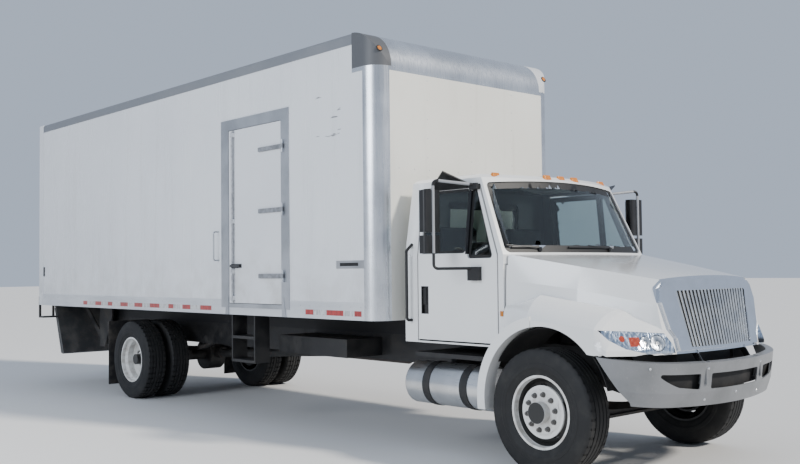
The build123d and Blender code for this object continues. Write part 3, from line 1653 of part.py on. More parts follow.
def front_slab(front_inset, depth):
    # A leaning wall behind the surround's face, bowed in plan with a slight ridge in the middle
    front_x = front_axle_x - surround_face_setback - front_inset + grille_slope * surround_depth
    quarter = (-surround_bow / 2 + surround_ridge, surround_half_span / 2)
    end = (-surround_bow, surround_half_span)
    with BuildSketch(Plane.XY.offset(surround_bottom_z - surround_depth)) as band:
        with BuildLine():
            for side in (-1, 1):
                ThreePointArc(
                    (front_x, 0),
                    (front_x + quarter[0], side * quarter[1]),
                    (front_x + end[0], side * end[1]),
                )
                Line((front_x + end[0], side * end[1]), (front_x + end[0] - depth, side * end[1]))
                ThreePointArc(
                    (front_x - depth, 0),
                    (front_x - depth + quarter[0], side * quarter[1]),
                    (front_x - depth + end[0], side * end[1]),
                )
        make_face()
    rise = surround_top_z - surround_bottom_z + 3 * surround_depth
    extrude(band.sketch, amount=rise * sqrt(1 + grille_slope ** 2), dir=(-grille_slope, 0, 1))


def grille_face_x(y, z):
    # Where the surround's face lies at a distance from the middle and a height
    share = abs(y) / surround_half_span
    bow = (4 * surround_ridge - surround_bow) * share - 4 * surround_ridge * share ** 2
    return front_axle_x - surround_face_setback + bow - grille_slope * (z - surround_bottom_z)


def surround_outline(inset):
    # The surround's outer outline seen from the front, a shield that narrows to its feet
    left_side = (
        (surround_top_half_width - inset, surround_top_z - inset),
        (surround_shoulder_half_width - inset, surround_shoulder_z),
        (surround_waist_half_width - inset, surround_waist_z),
        (surround_knee_half_width - inset, surround_knee_z),
        (surround_foot_half_width - inset, surround_foot_z),
        (surround_bottom_half_width - inset, surround_bottom_z + inset),
    )
    right_side = [(-y, z) for y, z in reversed(left_side)]
    with BuildSketch(cross_plane(front_axle_x + surround_waist_z - surround_bottom_z)) as outline:
        with BuildLine():
            Polyline(*left_side, *right_side)
            ThreePointArc(right_side[-1], (0, surround_top_z + hood_crown - inset), left_side[0])
        make_face()
        top_corners = [v for v in outline.vertices() if v.Z > surround_top_z - inset - 1]
        fillet(top_corners, surround_corner)
    return outline.sketch


def grille_opening():
    # The opening that the bars fill, wider at the top
    with BuildSketch(cross_plane(front_axle_x + surround_waist_z - surround_bottom_z)) as opening:
        with BuildLine():
            Polyline(
                (-grille_top_half_width, grille_top_z),
                (-grille_bottom_half_width, grille_bottom_z),
                (grille_bottom_half_width, grille_bottom_z),
                (grille_top_half_width, grille_top_z),
                close=True,
            )
        make_face()
        fillet(opening.vertices(), grille_corner)
    return opening.sketch


# Grille surround: a leaning, bowed shield whose outer edge is rolled back, with the hood's hinge brackets
with BuildPart() as surround_front:
    front_slab(0, surround_depth / 2)
    loft(
        [
            surround_outline(surround_roll),
            surround_outline(surround_roll).moved(Location((surround_half_span, 0, 0))),
        ],
        ruled=True,
        mode=Mode.INTERSECT,
    )
with BuildPart() as grille_surround:
    front_slab(surround_depth / 2, surround_depth / 2)
    extrude(surround_outline(0), amount=surround_half_span, mode=Mode.INTERSECT)
    add(surround_front.part)
    extrude(grille_opening(), amount=surround_half_span, mode=Mode.SUBTRACT)
    for side in (-1, 1):
        with BuildSketch(side_plane(side * hood_hinge_y + (hood_hinge_wall if side > 0 else 0))):
            with BuildLine():
                Polyline(
                    (hood_pivot_x - hood_hinge_run - surround_depth, grille_bottom_z - hood_hinge_gap),
                    (hood_pivot_x - hood_hinge_run, grille_bottom_z - hood_hinge_gap),
                    (hood_pivot_x + 0.75 * hood_hinge_radius, hood_pivot_z + hood_hinge_radius / 2),
                    (hood_pivot_x - hood_hinge_radius / 2, hood_pivot_z - 0.8 * hood_hinge_radius),
                    close=True,
                )
            make_face()
            with Locations((hood_pivot_x, hood_pivot_z)):
                Circle(hood_hinge_radius)
                Circle(hood_pin_radius + hood_pin_clearance, mode=Mode.SUBTRACT)
        extrude(amount=hood_hinge_wall)
grille_surround.part.label = "grille_surround"
export_step(grille_surround.part, "parts/grille_surround.step")

# Grille: rounded vertical bars that fan out upward, on a backing between top and bottom
with BuildPart() as grille_bars:
    bar_height = grille_top_z - grille_bottom_z
    fan = (grille_top_half_width - grille_bottom_half_width) / grille_bottom_half_width / bar_height
    for side in (-1, 1):
        for index in range(bar_count_per_side):
            bar_y = side * (index + 0.5) * grille_bottom_half_width / bar_count_per_side
            bar_x = grille_face_x(bar_y, grille_bottom_z) - bar_inset
            with BuildSketch(Plane.XY.offset(grille_bottom_z)):
                with Locations((bar_x - bar_depth / 2, bar_y)):
                    RectangleRounded(bar_depth, bar_width, bar_corner)
            lean = Vector(-grille_slope, fan * bar_y, 1)
            extrude(amount=bar_height * lean.length, dir=lean)
    front_slab(mesh_inset, mesh_wall)
    extrude(grille_opening(), amount=surround_half_span, mode=Mode.INTERSECT)
grille_bars.part.label = "grille_bars"
export_step(grille_bars.part, "parts/grille_bars.step")

# Hood shell: nose and fenders in one moulding, open below and in front
with BuildPart() as fenders_outer:
    for side in (-1, 1):
        add(fender_volume(side, 0, 0))
# What the hood gives up to the surround: all ahead of it, and the seat within its outline
with BuildPart() as surround_ahead:
    front_slab(surround_reveal - surround_half_span, surround_half_span)
with BuildPart() as surround_seat:
    front_slab(surround_depth - surround_half_span, surround_half_span)
    extrude(surround_outline(0), amount=2 * surround_half_span, mode=Mode.INTERSECT)
# Where the hood's front end stays solid, turned in behind its edge to meet the surround
with BuildPart() as hood_flange_space:
    front_slab(surround_reveal + hood_flange_wall - surround_half_span, surround_half_span)


def hood_hollow(volume):
    # An inner form of the hood, stopped short of its turned-in front end
    with BuildPart() as hollow:
        add(volume)
        add(hood_flange_space.part, mode=Mode.SUBTRACT)
    return hollow.part


headlight_cutters = {}
for side in (-1, 1):
    with BuildPart() as cutter:
        with BuildSketch(headlight_plane(side)):
            with BuildLine():
                Polyline(*headlight_outline, close=True)
            make_face()
        extrude(amount=-side * headlight_depth, both=True)
    headlight_cutters[side] = cutter.part
with BuildPart() as hood_shell:
    add(nose_volume(0, 0))
    add(fenders_outer.part)
    add(hood_hollow(nose_volume(hood_wall, 1)), mode=Mode.SUBTRACT)
    for side in (-1, 1):
        add(hood_hollow(fender_volume(side, hood_wall, 1)), mode=Mode.SUBTRACT)
    add(surround_ahead.part, mode=Mode.SUBTRACT)
    add(surround_seat.part, mode=Mode.SUBTRACT)
    for side in (-1, 1):
        across(
            arch_x, arch_z, arch_radius,
            (side * fender_inner_y, side * (fender_half_width + flare_depth)),
            Mode.SUBTRACT,
        )
        add(headlight_cutters[side], mode=Mode.SUBTRACT)
        # Flare round the rear half of the arch
        with BuildSketch(side_plane(side * fender_half_width)):
            with Locations((arch_x, arch_z)):
                Circle(arch_radius + flare_width)
                Circle(arch_radius, mode=Mode.SUBTRACT)
            with Locations((arch_x - flare_front_gap - arch_radius, flare_bottom_z + 2 * arch_radius)):
                Rectangle(2 * arch_radius, 4 * arch_radius, mode=Mode.INTERSECT)
        extrude(amount=side * flare_depth)
    # The rear edge follows the cowl's bow
    cowl_cut = cab_section(
        cowl_z - hood_gap, cab_half_width, cowl_setback, windshield_base_bow, cab_back, -hood_gap
    )
    extrude(cowl_cut, amount=eave_z - cowl_z, mode=Mode.SUBTRACT)
hood_shell.part.label = "hood_shell"
export_step(hood_shell.part, "parts/hood_shell.step")

# Headlights: the part of each fender's corner inside the lamp outline
headlight_sides = []
for side in (-1, 1):
    with BuildPart() as lamp:
        add(fender_volume(side, headlight_inset, 0))
        add(headlight_cutters[side], mode=Mode.INTERSECT)
        add(surround_seat.part, mode=Mode.SUBTRACT)
    headlight_sides.append(lamp.part)
with BuildPart() as headlight_pair:
    add(headlight_sides)
headlight_pair.part.label = "headlights"
export_step(headlight_pair.part, "parts/headlights.step")

def body_plan(z, back_x, inset):
    # The box's plan with its rounded front corners, inset from the outer faces
    half = body_half_width - inset
    corner = corner_radius - inset
    front_x = body_front_x - inset
    with BuildSketch(Plane.XY.offset(z)) as plan:
        with BuildLine():
            Line((back_x, -half), (front_x - corner, -half))
            RadiusArc((front_x - corner, -half), (front_x, -half + corner), -corner)
            Line((front_x, -half + corner), (front_x, half - corner))
            RadiusArc((front_x, half - corner), (front_x - corner, half), -corner)
            Line((front_x - corner, half), (back_x, half))
            Line((back_x, half), (back_x, -half))
        make_face()
    return plan.sketch


# Box floor: boards on cross sills, over two long sills that stand on the frame
floor_front_x = body_front_x - wall_thickness
floor_rear_x = body_rear_x + rear_frame_depth
floor_half_width = body_half_width - side_rail_wall
with BuildPart() as box_floor:
    block(
        (floor_rear_x, floor_front_x),
        (-floor_half_width, floor_half_width),
        (floor_top_z - floor_wall, floor_top_z),
    )
    sill_count = int((floor_front_x - floor_rear_x) / body_crossmember_pitch)
    for index in range(sill_count + 1):
        sill_x = floor_rear_x + body_crossmember_width / 2 + index * (
            (floor_front_x - floor_rear_x - body_crossmember_width) / sill_count
        )
        block(
            (sill_x - body_crossmember_width / 2, sill_x + body_crossmember_width / 2),
            (-floor_half_width, floor_half_width),
            (body_bottom_z, floor_top_z - floor_wall),
        )
    for side in (-1, 1):
        block(
            (frame_rear_x, floor_front_x),
            (side * (body_sill_y - body_sill_width / 2), side * (body_sill_y + body_sill_width / 2)),
            (rail_top_z, body_bottom_z),
        )
    plan = body_plan(rail_top_z, floor_rear_x - body_length, side_rail_wall)
    extrude(plan, amount=floor_top_z - rail_top_z, mode=Mode.INTERSECT)
box_floor.part.label = "box_floor"
export_step(box_floor.part, "parts/box_floor.step")


def header_form(inset):
    # The rolled front top of the box, as a filled form: a side profile cut to the rounded plan
    front_x = body_front_x - inset
    top_z = roof_top_z - inset
    radius = header_radius - inset
    back_x = body_front_x - header_radius - (1 if inset else 0)
    low_z = header_bottom_z - (1 if inset else 0)
    with BuildPart() as form:
        with BuildSketch(side_plane(body_half_width + 1)):
            with BuildLine():
                Line((back_x, low_z), (front_x, low_z))
                Line((front_x, low_z), (front_x, top_z - radius))
                RadiusArc((front_x, top_z - radius), (front_x - radius, top_z), -radius)
                Polyline((front_x - radius, top_z), (back_x - 1, top_z), (back_x - 1, low_z), (back_x, low_z))
            make_face()
        extrude(amount=2 * body_half_width + 2)
        plan = body_plan(header_bottom_z - 10, back_x, inset)
        extrude(plan, amount=roof_top_z, mode=Mode.INTERSECT)
    return form.part


# Rounded corner posts and the rolled header over the front wall
header_outer = header_form(0)
with BuildPart() as front_trim:
    add(header_outer)
    add(header_form(wall_thickness), mode=Mode.SUBTRACT)
    with BuildSketch(Plane.XY.offset(body_bottom_z)):
        for side in (-1, 1):
            centre_x = body_front_x - corner_radius
            centre_y = side * (body_half_width - corner_radius)
            outer_side = (centre_x, side * body_half_width)
            outer_front = (body_front_x, centre_y)
            inner_front = (body_front_x - wall_thickness, centre_y)
            inner_side = (centre_x, side * (body_half_width - wall_thickness))
            diagonal = sqrt(0.5)
            inner = corner_radius - wall_thickness
            with BuildLine():
                ThreePointArc(
                    outer_side,
                    (centre_x + corner_radius * diagonal, centre_y + side * corner_radius * diagonal),
                    outer_front,
                )
                Line(outer_front, inner_front)
                ThreePointArc(
                    inner_front,
                    (centre_x + inner * diagonal, centre_y + side * inner * diagonal),
                    inner_side,
                )
                Line(inner_side, outer_side)
            make_face()
    extrude(amount=header_bottom_z - body_bottom_z)
front_trim.part.label = "front_trim"
export_step(front_trim.part, "parts/front_trim.step")

# Front wall of the box, between the corner posts
with BuildPart() as box_front_wall:
    block(
        (body_front_x - wall_thickness, body_front_x),
        (-body_half_width + corner_radius, body_half_width - corner_radius),
        (body_bottom_z, header_bottom_z),
    )
box_front_wall.part.label = "box_front_wall"
export_step(box_front_wall.part, "parts/box_front_wall.step")

# Side walls, set in from the rails, with the side door's opening on the right
wall_outer_y = body_half_width - rail_proud
wall_inner_y = wall_outer_y - wall_thickness
wall_low_z = body_bottom_z + side_rail_height
wall_high_z = roof_top_z - top_rail_height
frame_sill_z = side_door_bottom_z - 45
for side_name, side in (("left", 1), ("right", -1)):
    with BuildPart() as side_wall:
        block(
            (floor_rear_x, body_front_x - corner_radius),
            (side * wall_inner_y, side * wall_outer_y),
            (wall_low_z, wall_high_z),
        )
        add(header_outer, mode=Mode.SUBTRACT)
        if side < 0:
            block(
                (front_axle_x - door_frame_rear, front_axle_x - door_frame_front),
                (side * (wall_inner_y - 1), side * (wall_outer_y + 1)),
                (wall_low_z - 1, door_frame_top_z),
                Mode.SUBTRACT,
            )
    side_wall.part.label = f"box_{side_name}_wall"
    export_step(side_wall.part, f"parts/box_{side_name}_wall.step")

# Bottom rails outside the floor and top rails beside the roof
with BuildPart() as body_rails:
    for side in (-1, 1):
        block(
            (floor_rear_x, body_front_x - corner_radius),
            (side * floor_half_width, side * body_half_width),
            (body_bottom_z, wall_low_z),
        )
        with BuildSketch(cross_plane(floor_rear_x)):
            with Locations((side * (body_half_width - top_rail_width / 2), roof_top_z - top_rail_height / 2)):
                Rectangle(top_rail_width, top_rail_height)
        extrude(amount=body_front_x - header_radius - 1 - floor_rear_x)
    fillet(
        body_rails.edges().filter_by(Axis.X).group_by(Axis.Z)[-1].sort_by(Axis.Y)[0], top_rail_radius
    )
    fillet(
        body_rails.edges().filter_by(Axis.X).group_by(Axis.Z)[-1].sort_by(Axis.Y)[-1], top_rail_radius
    )
    block(
        (front_axle_x - door_frame_rear, front_axle_x - door_frame_front),
        (-body_half_width - 1, -floor_half_width),
        (frame_sill_z, wall_low_z + 1),
        Mode.SUBTRACT,
    )
body_rails.part.label = "body_rails"
export_step(body_rails.part, "parts/body_rails.step")

# Roof skin between the top rails
with BuildPart() as box_roof:
    block(
        (floor_rear_x, body_front_x - header_radius - 1),
        (-body_half_width + top_rail_width, body_half_width - top_rail_width),
        (roof_top_z - roof_wall, roof_top_z),
    )
box_roof.part.label = "box_roof"
export_step(box_roof.part, "parts/box_roof.step")

# Rear frame round the door opening
rear_opening_half = body_half_width - rear_post_width
rear_opening_top_z = roof_top_z - rear_header_height
with BuildPart() as rear_frame:
    block((body_rear_x, floor_rear_x), (-body_half_width, body_half_width), (body_bottom_z, roof_top_z))
    block(
        (body_rear_x - 1, floor_rear_x + 1),
        (-rear_opening_half, rear_opening_half),
        (floor_top_z, rear_opening_top_z),
        Mode.SUBTRACT,
    )
rear_frame.part.label = "rear_frame"
export_step(rear_frame.part, "parts/rear_frame.step")

# Roll-up rear door, closed: one curtain of grooved panels
with BuildPart() as rear_door:
    door_outer_x = body_rear_x + rear_door_inset
    block(
        (door_outer_x, door_outer_x + rear_door_wall),
        (-rear_opening_half, rear_opening_half),
        (floor_top_z, rear_opening_top_z),
    )
    panel_height = (rear_opening_top_z - floor_top_z) / rear_door_panels
    for index in range(1, rear_door_panels):
        seam_z = floor_top_z + index * panel_height
        block(
            (door_outer_x - 1, door_outer_x + rear_door_groove),
            (-rear_opening_half, rear_opening_half),
            (seam_z - rear_door_groove / 2, seam_z + rear_door_groove / 2),
            Mode.SUBTRACT,
        )
rear_door.part.label = "rear_door"
export_step(rear_door.part, "parts/rear_door.step")

# Side door frame with its gussets, hinge barrels and the grab loop on the wall
hinge_x = front_axle_x - side_hinge_setback
hinge_y = -(body_half_width + side_hinge_proud)
frame_face_y = body_half_width + door_frame_proud
with BuildPart() as side_door_frame:
    block(
        (front_axle_x - door_frame_rear, front_axle_x - door_frame_front),
        (-frame_face_y, -wall_inner_y),
        (frame_sill_z, door_frame_top_z),
    )
    block(
        (front_axle_x - side_door_rear, front_axle_x - side_door_front),
        (-frame_face_y - 1, -wall_inner_y + 1),
        (side_door_bottom_z, side_door_top_z),
        Mode.SUBTRACT,
    )
    for edge_x, lean in (
        (front_axle_x - side_door_rear, -1),
        (front_axle_x - side_door_front, 1),
    ):
        with BuildSketch(side_plane(-body_half_width)):
            with BuildLine():
                Polyline(
                    (edge_x + lean * 8, body_bottom_z),
                    (edge_x + lean * (8 + gusset_foot), body_bottom_z),
                    (edge_x + lean * (8 + gusset_top), body_bottom_z + gusset_height),
                    (edge_x + lean * 8, body_bottom_z + gusset_height),
                    close=True,
                )
            make_face()
        extrude(amount=gusset_wall)
    for height in side_hinge_heights:
        barrel_ends = (strap_height / 2 + 1, side_hinge_length / 2)
        for low, high in (barrel_ends, (-barrel_ends[1], -barrel_ends[0])):
            rod((hinge_x, hinge_y, height + low), (hinge_x, hinge_y, height + high), side_hinge_radius)
            block(
                (hinge_x - side_hinge_radius / 2, hinge_x + side_hinge_radius / 2),
                (hinge_y, -frame_face_y + 2),
                (height + low, height + high),
            )
    loop_x = front_axle_x - grab_loop_setback
    loop_y = -(wall_outer_y + grab_loop_reach)
    tube(
        (
            (loop_x, -wall_outer_y, grab_loop_bottom_z),
            (loop_x, loop_y, grab_loop_bottom_z),
            (loop_x, loop_y, grab_loop_top_z),
            (loop_x, -wall_outer_y, grab_loop_top_z),
        ),
        grab_loop_radius,
        3 * grab_loop_radius,
    )
side_door_frame.part.label = "side_door_frame"
export_step(side_door_frame.part, "parts/side_door_frame.step")

# Side door: leaf, three hinge straps, lock rod with its brackets and handle
strap_y = body_half_width + door_frame_proud + 6
leaf_face_y = body_half_width + 5
rod_x = front_axle_x - lock_rod_setback
rod_y = -(leaf_face_y + lock_rod_proud)
with BuildPart() as side_door:
    block(
        (front_axle_x - side_door_rear + side_door_gap, front_axle_x - side_door_front - side_door_gap),
        (-leaf_face_y, -leaf_face_y + side_door_wall),
        (side_door_bottom_z + side_door_gap, side_door_top_z - side_door_gap),
    )
    for height in side_hinge_heights:
        rod(
            (hinge_x, hinge_y, height - strap_height / 2),
            (hinge_x, hinge_y, height + strap_height / 2),
            side_hinge_radius,
        )
        block(
            (hinge_x - strap_reach, hinge_x),
            (-strap_y - strap_plate, -strap_y),
            (height - strap_height / 2, height + strap_height / 2),
        )
        block(
            (hinge_x - strap_reach, front_axle_x - side_door_front - side_door_gap),
            (-strap_y, -leaf_face_y),
            (height - strap_height / 2, height + strap_height / 2),
        )
    rod((rod_x, rod_y, side_door_bottom_z + 20), (rod_x, rod_y, side_door_top_z - 20), lock_rod_radius)
    for bracket_z in (side_door_bottom_z + 60, lock_handle_z - 60, lock_handle_z + 500, side_door_top_z - 60):
        block(
            (rod_x - 28, rod_x + 28),
            (rod_y - 4, -leaf_face_y),
            (bracket_z - 24, bracket_z + 24),
        )
    block(
        (rod_x - 14, rod_x + lock_handle_length),
        (rod_y - 20, rod_y),
        (lock_handle_z - 14, lock_handle_z + 14),
    )
side_door.part.label = "side_door"
export_step(side_door.part, "parts/side_door.step")

# Mud flaps behind the rear wheels, on arms from the frame
with BuildPart() as mud_flaps:
    for side in (-1, 1):
        flap_x = rear_axle_x - mud_flap_setback
        block(
            (flap_x - mud_flap_wall, flap_x),
            (side * (mud_flap_y - mud_flap_width / 2), side * (mud_flap_y + mud_flap_width / 2)),
            (mud_flap_bottom_z, mud_flap_top_z),
        )
        across(
            flap_x - mud_flap_wall - 20, mud_flap_top_z - 30, 20,
            (side * frame_half_width, side * (mud_flap_y + mud_flap_width / 2)),
        )
mud_flaps.part.label = "mud_flaps"
export_step(mud_flaps.part, "parts/mud_flaps.step")

# Marker lamps on the cab roof and cowl, the header and the rear frame, and the tail lamps
with BuildPart() as marker_lamps:
    for lamp_y in (-outer_lamp_y, -roof_lamp_pitch, 0, roof_lamp_pitch, outer_lamp_y):
        lamp_x = front_axle_x - (outer_lamp_setback if abs(lamp_y) == outer_lamp_y else roof_lamp_setback)
        with BuildSketch(Plane.XY.offset(eave_z)):
            with Locations((lamp_x, lamp_y)):
                SlotOverall(roof_lamp_length, roof_lamp_width, rotation=90)
        extrude(amount=roof_lamp_rise, taper=roof_lamp_taper)
    add(cab_outer, mode=Mode.SUBTRACT)
    for side in (-1, 1):
        block(
            (front_axle_x - cowl_setback - cowl_lamp_length, front_axle_x - cowl_setback),
            (side * cab_half_width, side * (cab_half_width + cowl_lamp_depth)),
            (cowl_lamp_z, cowl_lamp_z + cowl_lamp_height),
        )
        for row in (0, 1):
            lamp_y = side * (body_half_width - rear_post_width / 2)
            lamp_z = tail_lamp_z + row * tail_lamp_pitch
            rod((body_rear_x - 14, lamp_y, lamp_z), (body_rear_x, lamp_y, lamp_z), tail_lamp_radius)
    for lamp_y in (-body_half_width + 60, -roof_lamp_pitch, 0, roof_lamp_pitch, body_half_width - 60):
        rod(
            (body_rear_x - 14, lamp_y, roof_top_z - 70), (body_rear_x, lamp_y, roof_top_z - 70), lamp_radius
        )
marker_lamps.part.label = "marker_lamps"
export_step(marker_lamps.part, "parts/marker_lamps.step")

# Lift gate pivots, as distances along the truck and heights
pivot_x = body_rear_x + gate_pivot_ahead
raised = radians(180 - gate_raised_angle)
arm_end_x = pivot_x + gate_arm_length * cos(raised)
arm_end_z = gate_pivot_z + gate_arm_length * sin(raised)
hinge_line_x = body_rear_x - platform_hinge_setback
hinge_line_z = floor_top_z - platform_wall / 2
stow_dir = (sin(radians(platform_stow_angle)), -cos(radians(platform_stow_angle)))
stow_normal = (stow_dir[1], -stow_dir[0])

# Fixed part of the lift gate: hanger plates, cross tube and the dock plate with its corner steps
with BuildPart() as gate_frame:
    for side in (-1, 1):
        plate_y = side * (gate_arm_y + gate_arm_wall / 2 + gate_side_gap)
        with BuildSketch(side_plane(max(plate_y, plate_y + side * gate_plate_wall))):
            with BuildLine():
                Polyline(
                    (pivot_x - 90, gate_pivot_z - 70),
                    (pivot_x + 90, gate_pivot_z - 70),
                    (pivot_x + 340, rail_top_z),
                    (pivot_x + 340, body_bottom_z),
                    (pivot_x - 60, body_bottom_z),
                    (pivot_x - 90, rail_top_z),
                    close=True,
                )
            make_face()
        extrude(amount=gate_plate_wall)
        across(
            pivot_x, gate_pivot_z, gate_pin_radius,
            (side * (gate_arm_y - gate_arm_wall / 2 + 1), plate_y + side * gate_plate_wall),
        )
        block(
            (pivot_x + 150, pivot_x + 300),
            (side * frame_half_width, plate_y),
            (rail_bottom_z + 60, rail_bottom_z + 160),
        )
    plate_inner = gate_arm_y + gate_arm_wall / 2 + gate_side_gap
    block(
        (pivot_x + 150, pivot_x + 150 + gate_tube),
        (-plate_inner, plate_inner),
        (rail_bottom_z - gate_tube, rail_bottom_z),
    )
    # Dock plate behind the rear frame, its channel and the steps at its corners
    block(
        (body_rear_x - dock_depth, body_rear_x),
        (-dock_half_width, dock_half_width),
        (floor_top_z - dock_plate_wall, floor_top_z),
    )
    block(
        (body_rear_x - dock_channel, body_rear_x),
        (-dock_half_width, dock_half_width),
        (dock_channel_bottom_z, floor_top_z - dock_plate_wall),
    )
    for side in (-1, 1):
        step_outer = dock_half_width
        step_inner = dock_half_width - dock_step_width
        for leg_y in (step_inner, step_outer - 30):
            block(
                (body_rear_x - dock_depth, body_rear_x - dock_depth + 30),
                (side * leg_y, side * (leg_y + 30)),
                (floor_top_z - dock_step_drop, floor_top_z),
            )
        block(
            (body_rear_x - dock_depth, body_rear_x - 60),
            (side * step_inner, side * step_outer),
            (floor_top_z - dock_step_drop, floor_top_z - dock_step_drop + 24),
        )
gate_frame.part.label = "gate_frame"
export_step(gate_frame.part, "parts/gate_frame.step")

# Lift arms joined by a cross tube, pinned to the hanger plates
with BuildPart() as gate_arms:
    arm_dir = (cos(raised), sin(raised))
    arm_normal = (-arm_dir[1], arm_dir[0])
    for side in (-1, 1):
        near_y = side * gate_arm_y + gate_arm_wall / 2
        with BuildSketch(side_plane(near_y)):
            with BuildLine():
                half = gate_arm_height / 2
                Polyline(
                    (pivot_x + arm_normal[0] * half, gate_pivot_z + arm_normal[1] * half),
                    (arm_end_x + arm_normal[0] * half * 0.7, arm_end_z + arm_normal[1] * half * 0.7),
                    (arm_end_x - arm_normal[0] * half * 0.7, arm_end_z - arm_normal[1] * half * 0.7),
                    (pivot_x - arm_normal[0] * half, gate_pivot_z - arm_normal[1] * half),
                    close=True,
                )
            make_face()
            with Locations((pivot_x, gate_pivot_z)):
                Circle(gate_arm_height / 2)
            with Locations((arm_end_x, arm_end_z)):
                Circle(gate_arm_height * 0.42)
            with Locations((pivot_x, gate_pivot_z), (arm_end_x, arm_end_z)):
                Circle(gate_pin_radius + gate_pin_clearance, mode=Mode.SUBTRACT)
        extrude(amount=gate_arm_wall)
    # Torque tube on the pivot line, bored at its ends for the pins, and the cylinder's lever
    across(pivot_x, gate_pivot_z, gate_torque_radius, (-gate_arm_y, gate_arm_y))
    lever_dir = raised + radians(gate_lever_angle)
    lever_x = pivot_x + gate_lever * cos(lever_dir)
    lever_z = gate_pivot_z + gate_lever * sin(lever_dir)
    with BuildSketch(side_plane(gate_lever_wall / 2)):
        with BuildLine():
            Polyline(
                (pivot_x + gate_torque_radius * 0.9, gate_pivot_z),
                (lever_x + gate_lever_eye * 0.9, lever_z),
                (lever_x - gate_lever_eye * 0.9, lever_z),
                (pivot_x - gate_torque_radius * 0.9, gate_pivot_z),
                close=True,
            )
        make_face()
        with Locations((lever_x, lever_z)):
            Circle(gate_lever_eye)
    extrude(amount=gate_lever_wall)
    for side in (-1, 1):
        across(
            pivot_x, gate_pivot_z, gate_pin_radius + gate_pin_clearance,
            (side * (gate_arm_y - gate_arm_wall / 2), side * (gate_arm_y + gate_arm_wall)),
            Mode.SUBTRACT,
        )
gate_arms.part.label = "gate_arms"
export_step(gate_arms.part, "parts/gate_arms.step")

# Shackles that keep level: from the arms' ends back to the platform's hinge line
shackle_y = gate_arm_y + gate_arm_wall / 2 + gate_side_gap
with BuildPart() as gate_shackle:
    for side in (-1, 1):
        near_y = max(side * shackle_y, side * (shackle_y + gate_plate_wall))
        with BuildSketch(side_plane(near_y)):
            with BuildLine():
                Polyline(
                    (arm_end_x + 34, arm_end_z - 34),
                    (arm_end_x + 34, arm_end_z + 26),
                    (hinge_line_x - 16, hinge_line_z + 20),
                    (hinge_line_x - 16, hinge_line_z - 14),
                    close=True,
                )
            make_face()
        extrude(amount=gate_plate_wall)
        across(
            arm_end_x, arm_end_z, gate_pin_radius,
            (side * (gate_arm_y - gate_arm_wall / 2 - 4), side * (shackle_y + gate_plate_wall)),
        )
    across(hinge_line_x, hinge_line_z, flip_hinge_radius, (-shackle_y - 150, shackle_y + 150))
gate_shackle.part.label = "gate_shackle"
export_step(gate_shackle.part, "parts/gate_shackle.step")


def stowed(along, off):
    # A point in the folded platform's own directions, as X and Z
    return (
        hinge_line_x + stow_dir[0] * along + stow_normal[0] * off,
        hinge_line_z + stow_dir[1] * along + stow_normal[1] * off,
    )


# Platform hanging folded from its hinge line, with the flip leaf against its outer face
with BuildPart() as gate_platform:
    with BuildSketch(side_plane(platform_width / 2)):
        with BuildLine():
            Polyline(
                stowed(platform_start, -platform_wall / 2),
                stowed(platform_start, platform_wall / 2),
                stowed(platform_length, platform_wall / 2),
                stowed(platform_length, -platform_wall / 2),
                close=True,
            )
        make_face()
    extrude(amount=platform_width)
    for side in (-1, 1):
        lug_y = side * (shackle_y + gate_plate_wall + 60)
        with BuildSketch(side_plane(lug_y + 20)):
            with BuildLine():
                Polyline(
                    stowed(0, -26),
                    stowed(0, 26),
                    stowed(platform_start + 4, platform_wall / 2),
                    stowed(platform_start + 4, -platform_wall / 2),
                    close=True,
                )
            make_face()
            with Locations(stowed(0, 0)):
                Circle(platform_lug_radius)
                Circle(flip_hinge_radius + gate_pin_clearance, mode=Mode.SUBTRACT)
        extrude(amount=40)
    # Hinge tube along the tip, for the flip leaf
    across(
        *stowed(platform_length - flip_pin_setback, (platform_wall + flip_gap) / 2),
        flip_pin_radius,
        (-platform_width / 2, platform_width / 2),
    )
gate_platform.part.label = "gate_platform"
export_step(gate_platform.part, "parts/gate_platform.step")

flip_low = platform_wall / 2 + flip_gap
flip_end = platform_length - flip_setback
with BuildPart() as gate_flip:
    with BuildSketch(side_plane(platform_width / 2)):
        with BuildLine():
            Polyline(
                stowed(flip_end - flip_length, flip_low),
                stowed(flip_end - flip_length, flip_low + 14),
                stowed(flip_end - 60, flip_low + platform_wall),
                stowed(flip_end, flip_low + platform_wall),
                stowed(flip_end, flip_low),
                close=True,
            )
        make_face()
    extrude(amount=platform_width)
gate_flip.part.label = "gate_flip"
export_step(gate_flip.part, "parts/gate_flip.step")

# Lift cylinder's barrel, pinned to the frame's clevis at its front end
cylinder_line = Vector(lever_x - clevis_x, 0, lever_z - gate_cylinder_z)
cylinder_dir = cylinder_line.normalized()


def along_cylinder(distance):
    # A point on the cylinder's line, from the clevis pin towards the lever
    return (
        clevis_x + cylinder_dir.X * distance,
        0,
        gate_cylinder_z + cylinder_dir.Z * distance,
    )


cylinder_end = gate_cylinder_length
with BuildPart() as gate_cylinder:
    rod(along_cylinder(gate_neck_length), along_cylinder(cylinder_end), gate_cylinder_radius)
    rod(along_cylinder(0), along_cylinder(gate_neck_length), gate_neck_radius)
    across(clevis_x, gate_cylinder_z, gate_pin_radius + 14, (-gate_neck_radius, gate_neck_radius))
    rod(
        along_cylinder(gate_neck_length + 20),
        along_cylinder(cylinder_end - 20),
        gate_cylinder_bore,
        Mode.SUBTRACT,
    )
    rod(
        along_cylinder(cylinder_end - 21),
        along_cylinder(cylinder_end + 1),
        gate_rod_radius + gate_rod_clearance,
        Mode.SUBTRACT,
    )
    across(
        clevis_x, gate_cylinder_z, gate_pin_radius + gate_pin_clearance,
        (-gate_fork_half, gate_fork_half),
        Mode.SUBTRACT,
    )
gate_cylinder.part.label = "gate_cylinder"
export_step(gate_cylinder.part, "parts/gate_cylinder.step")

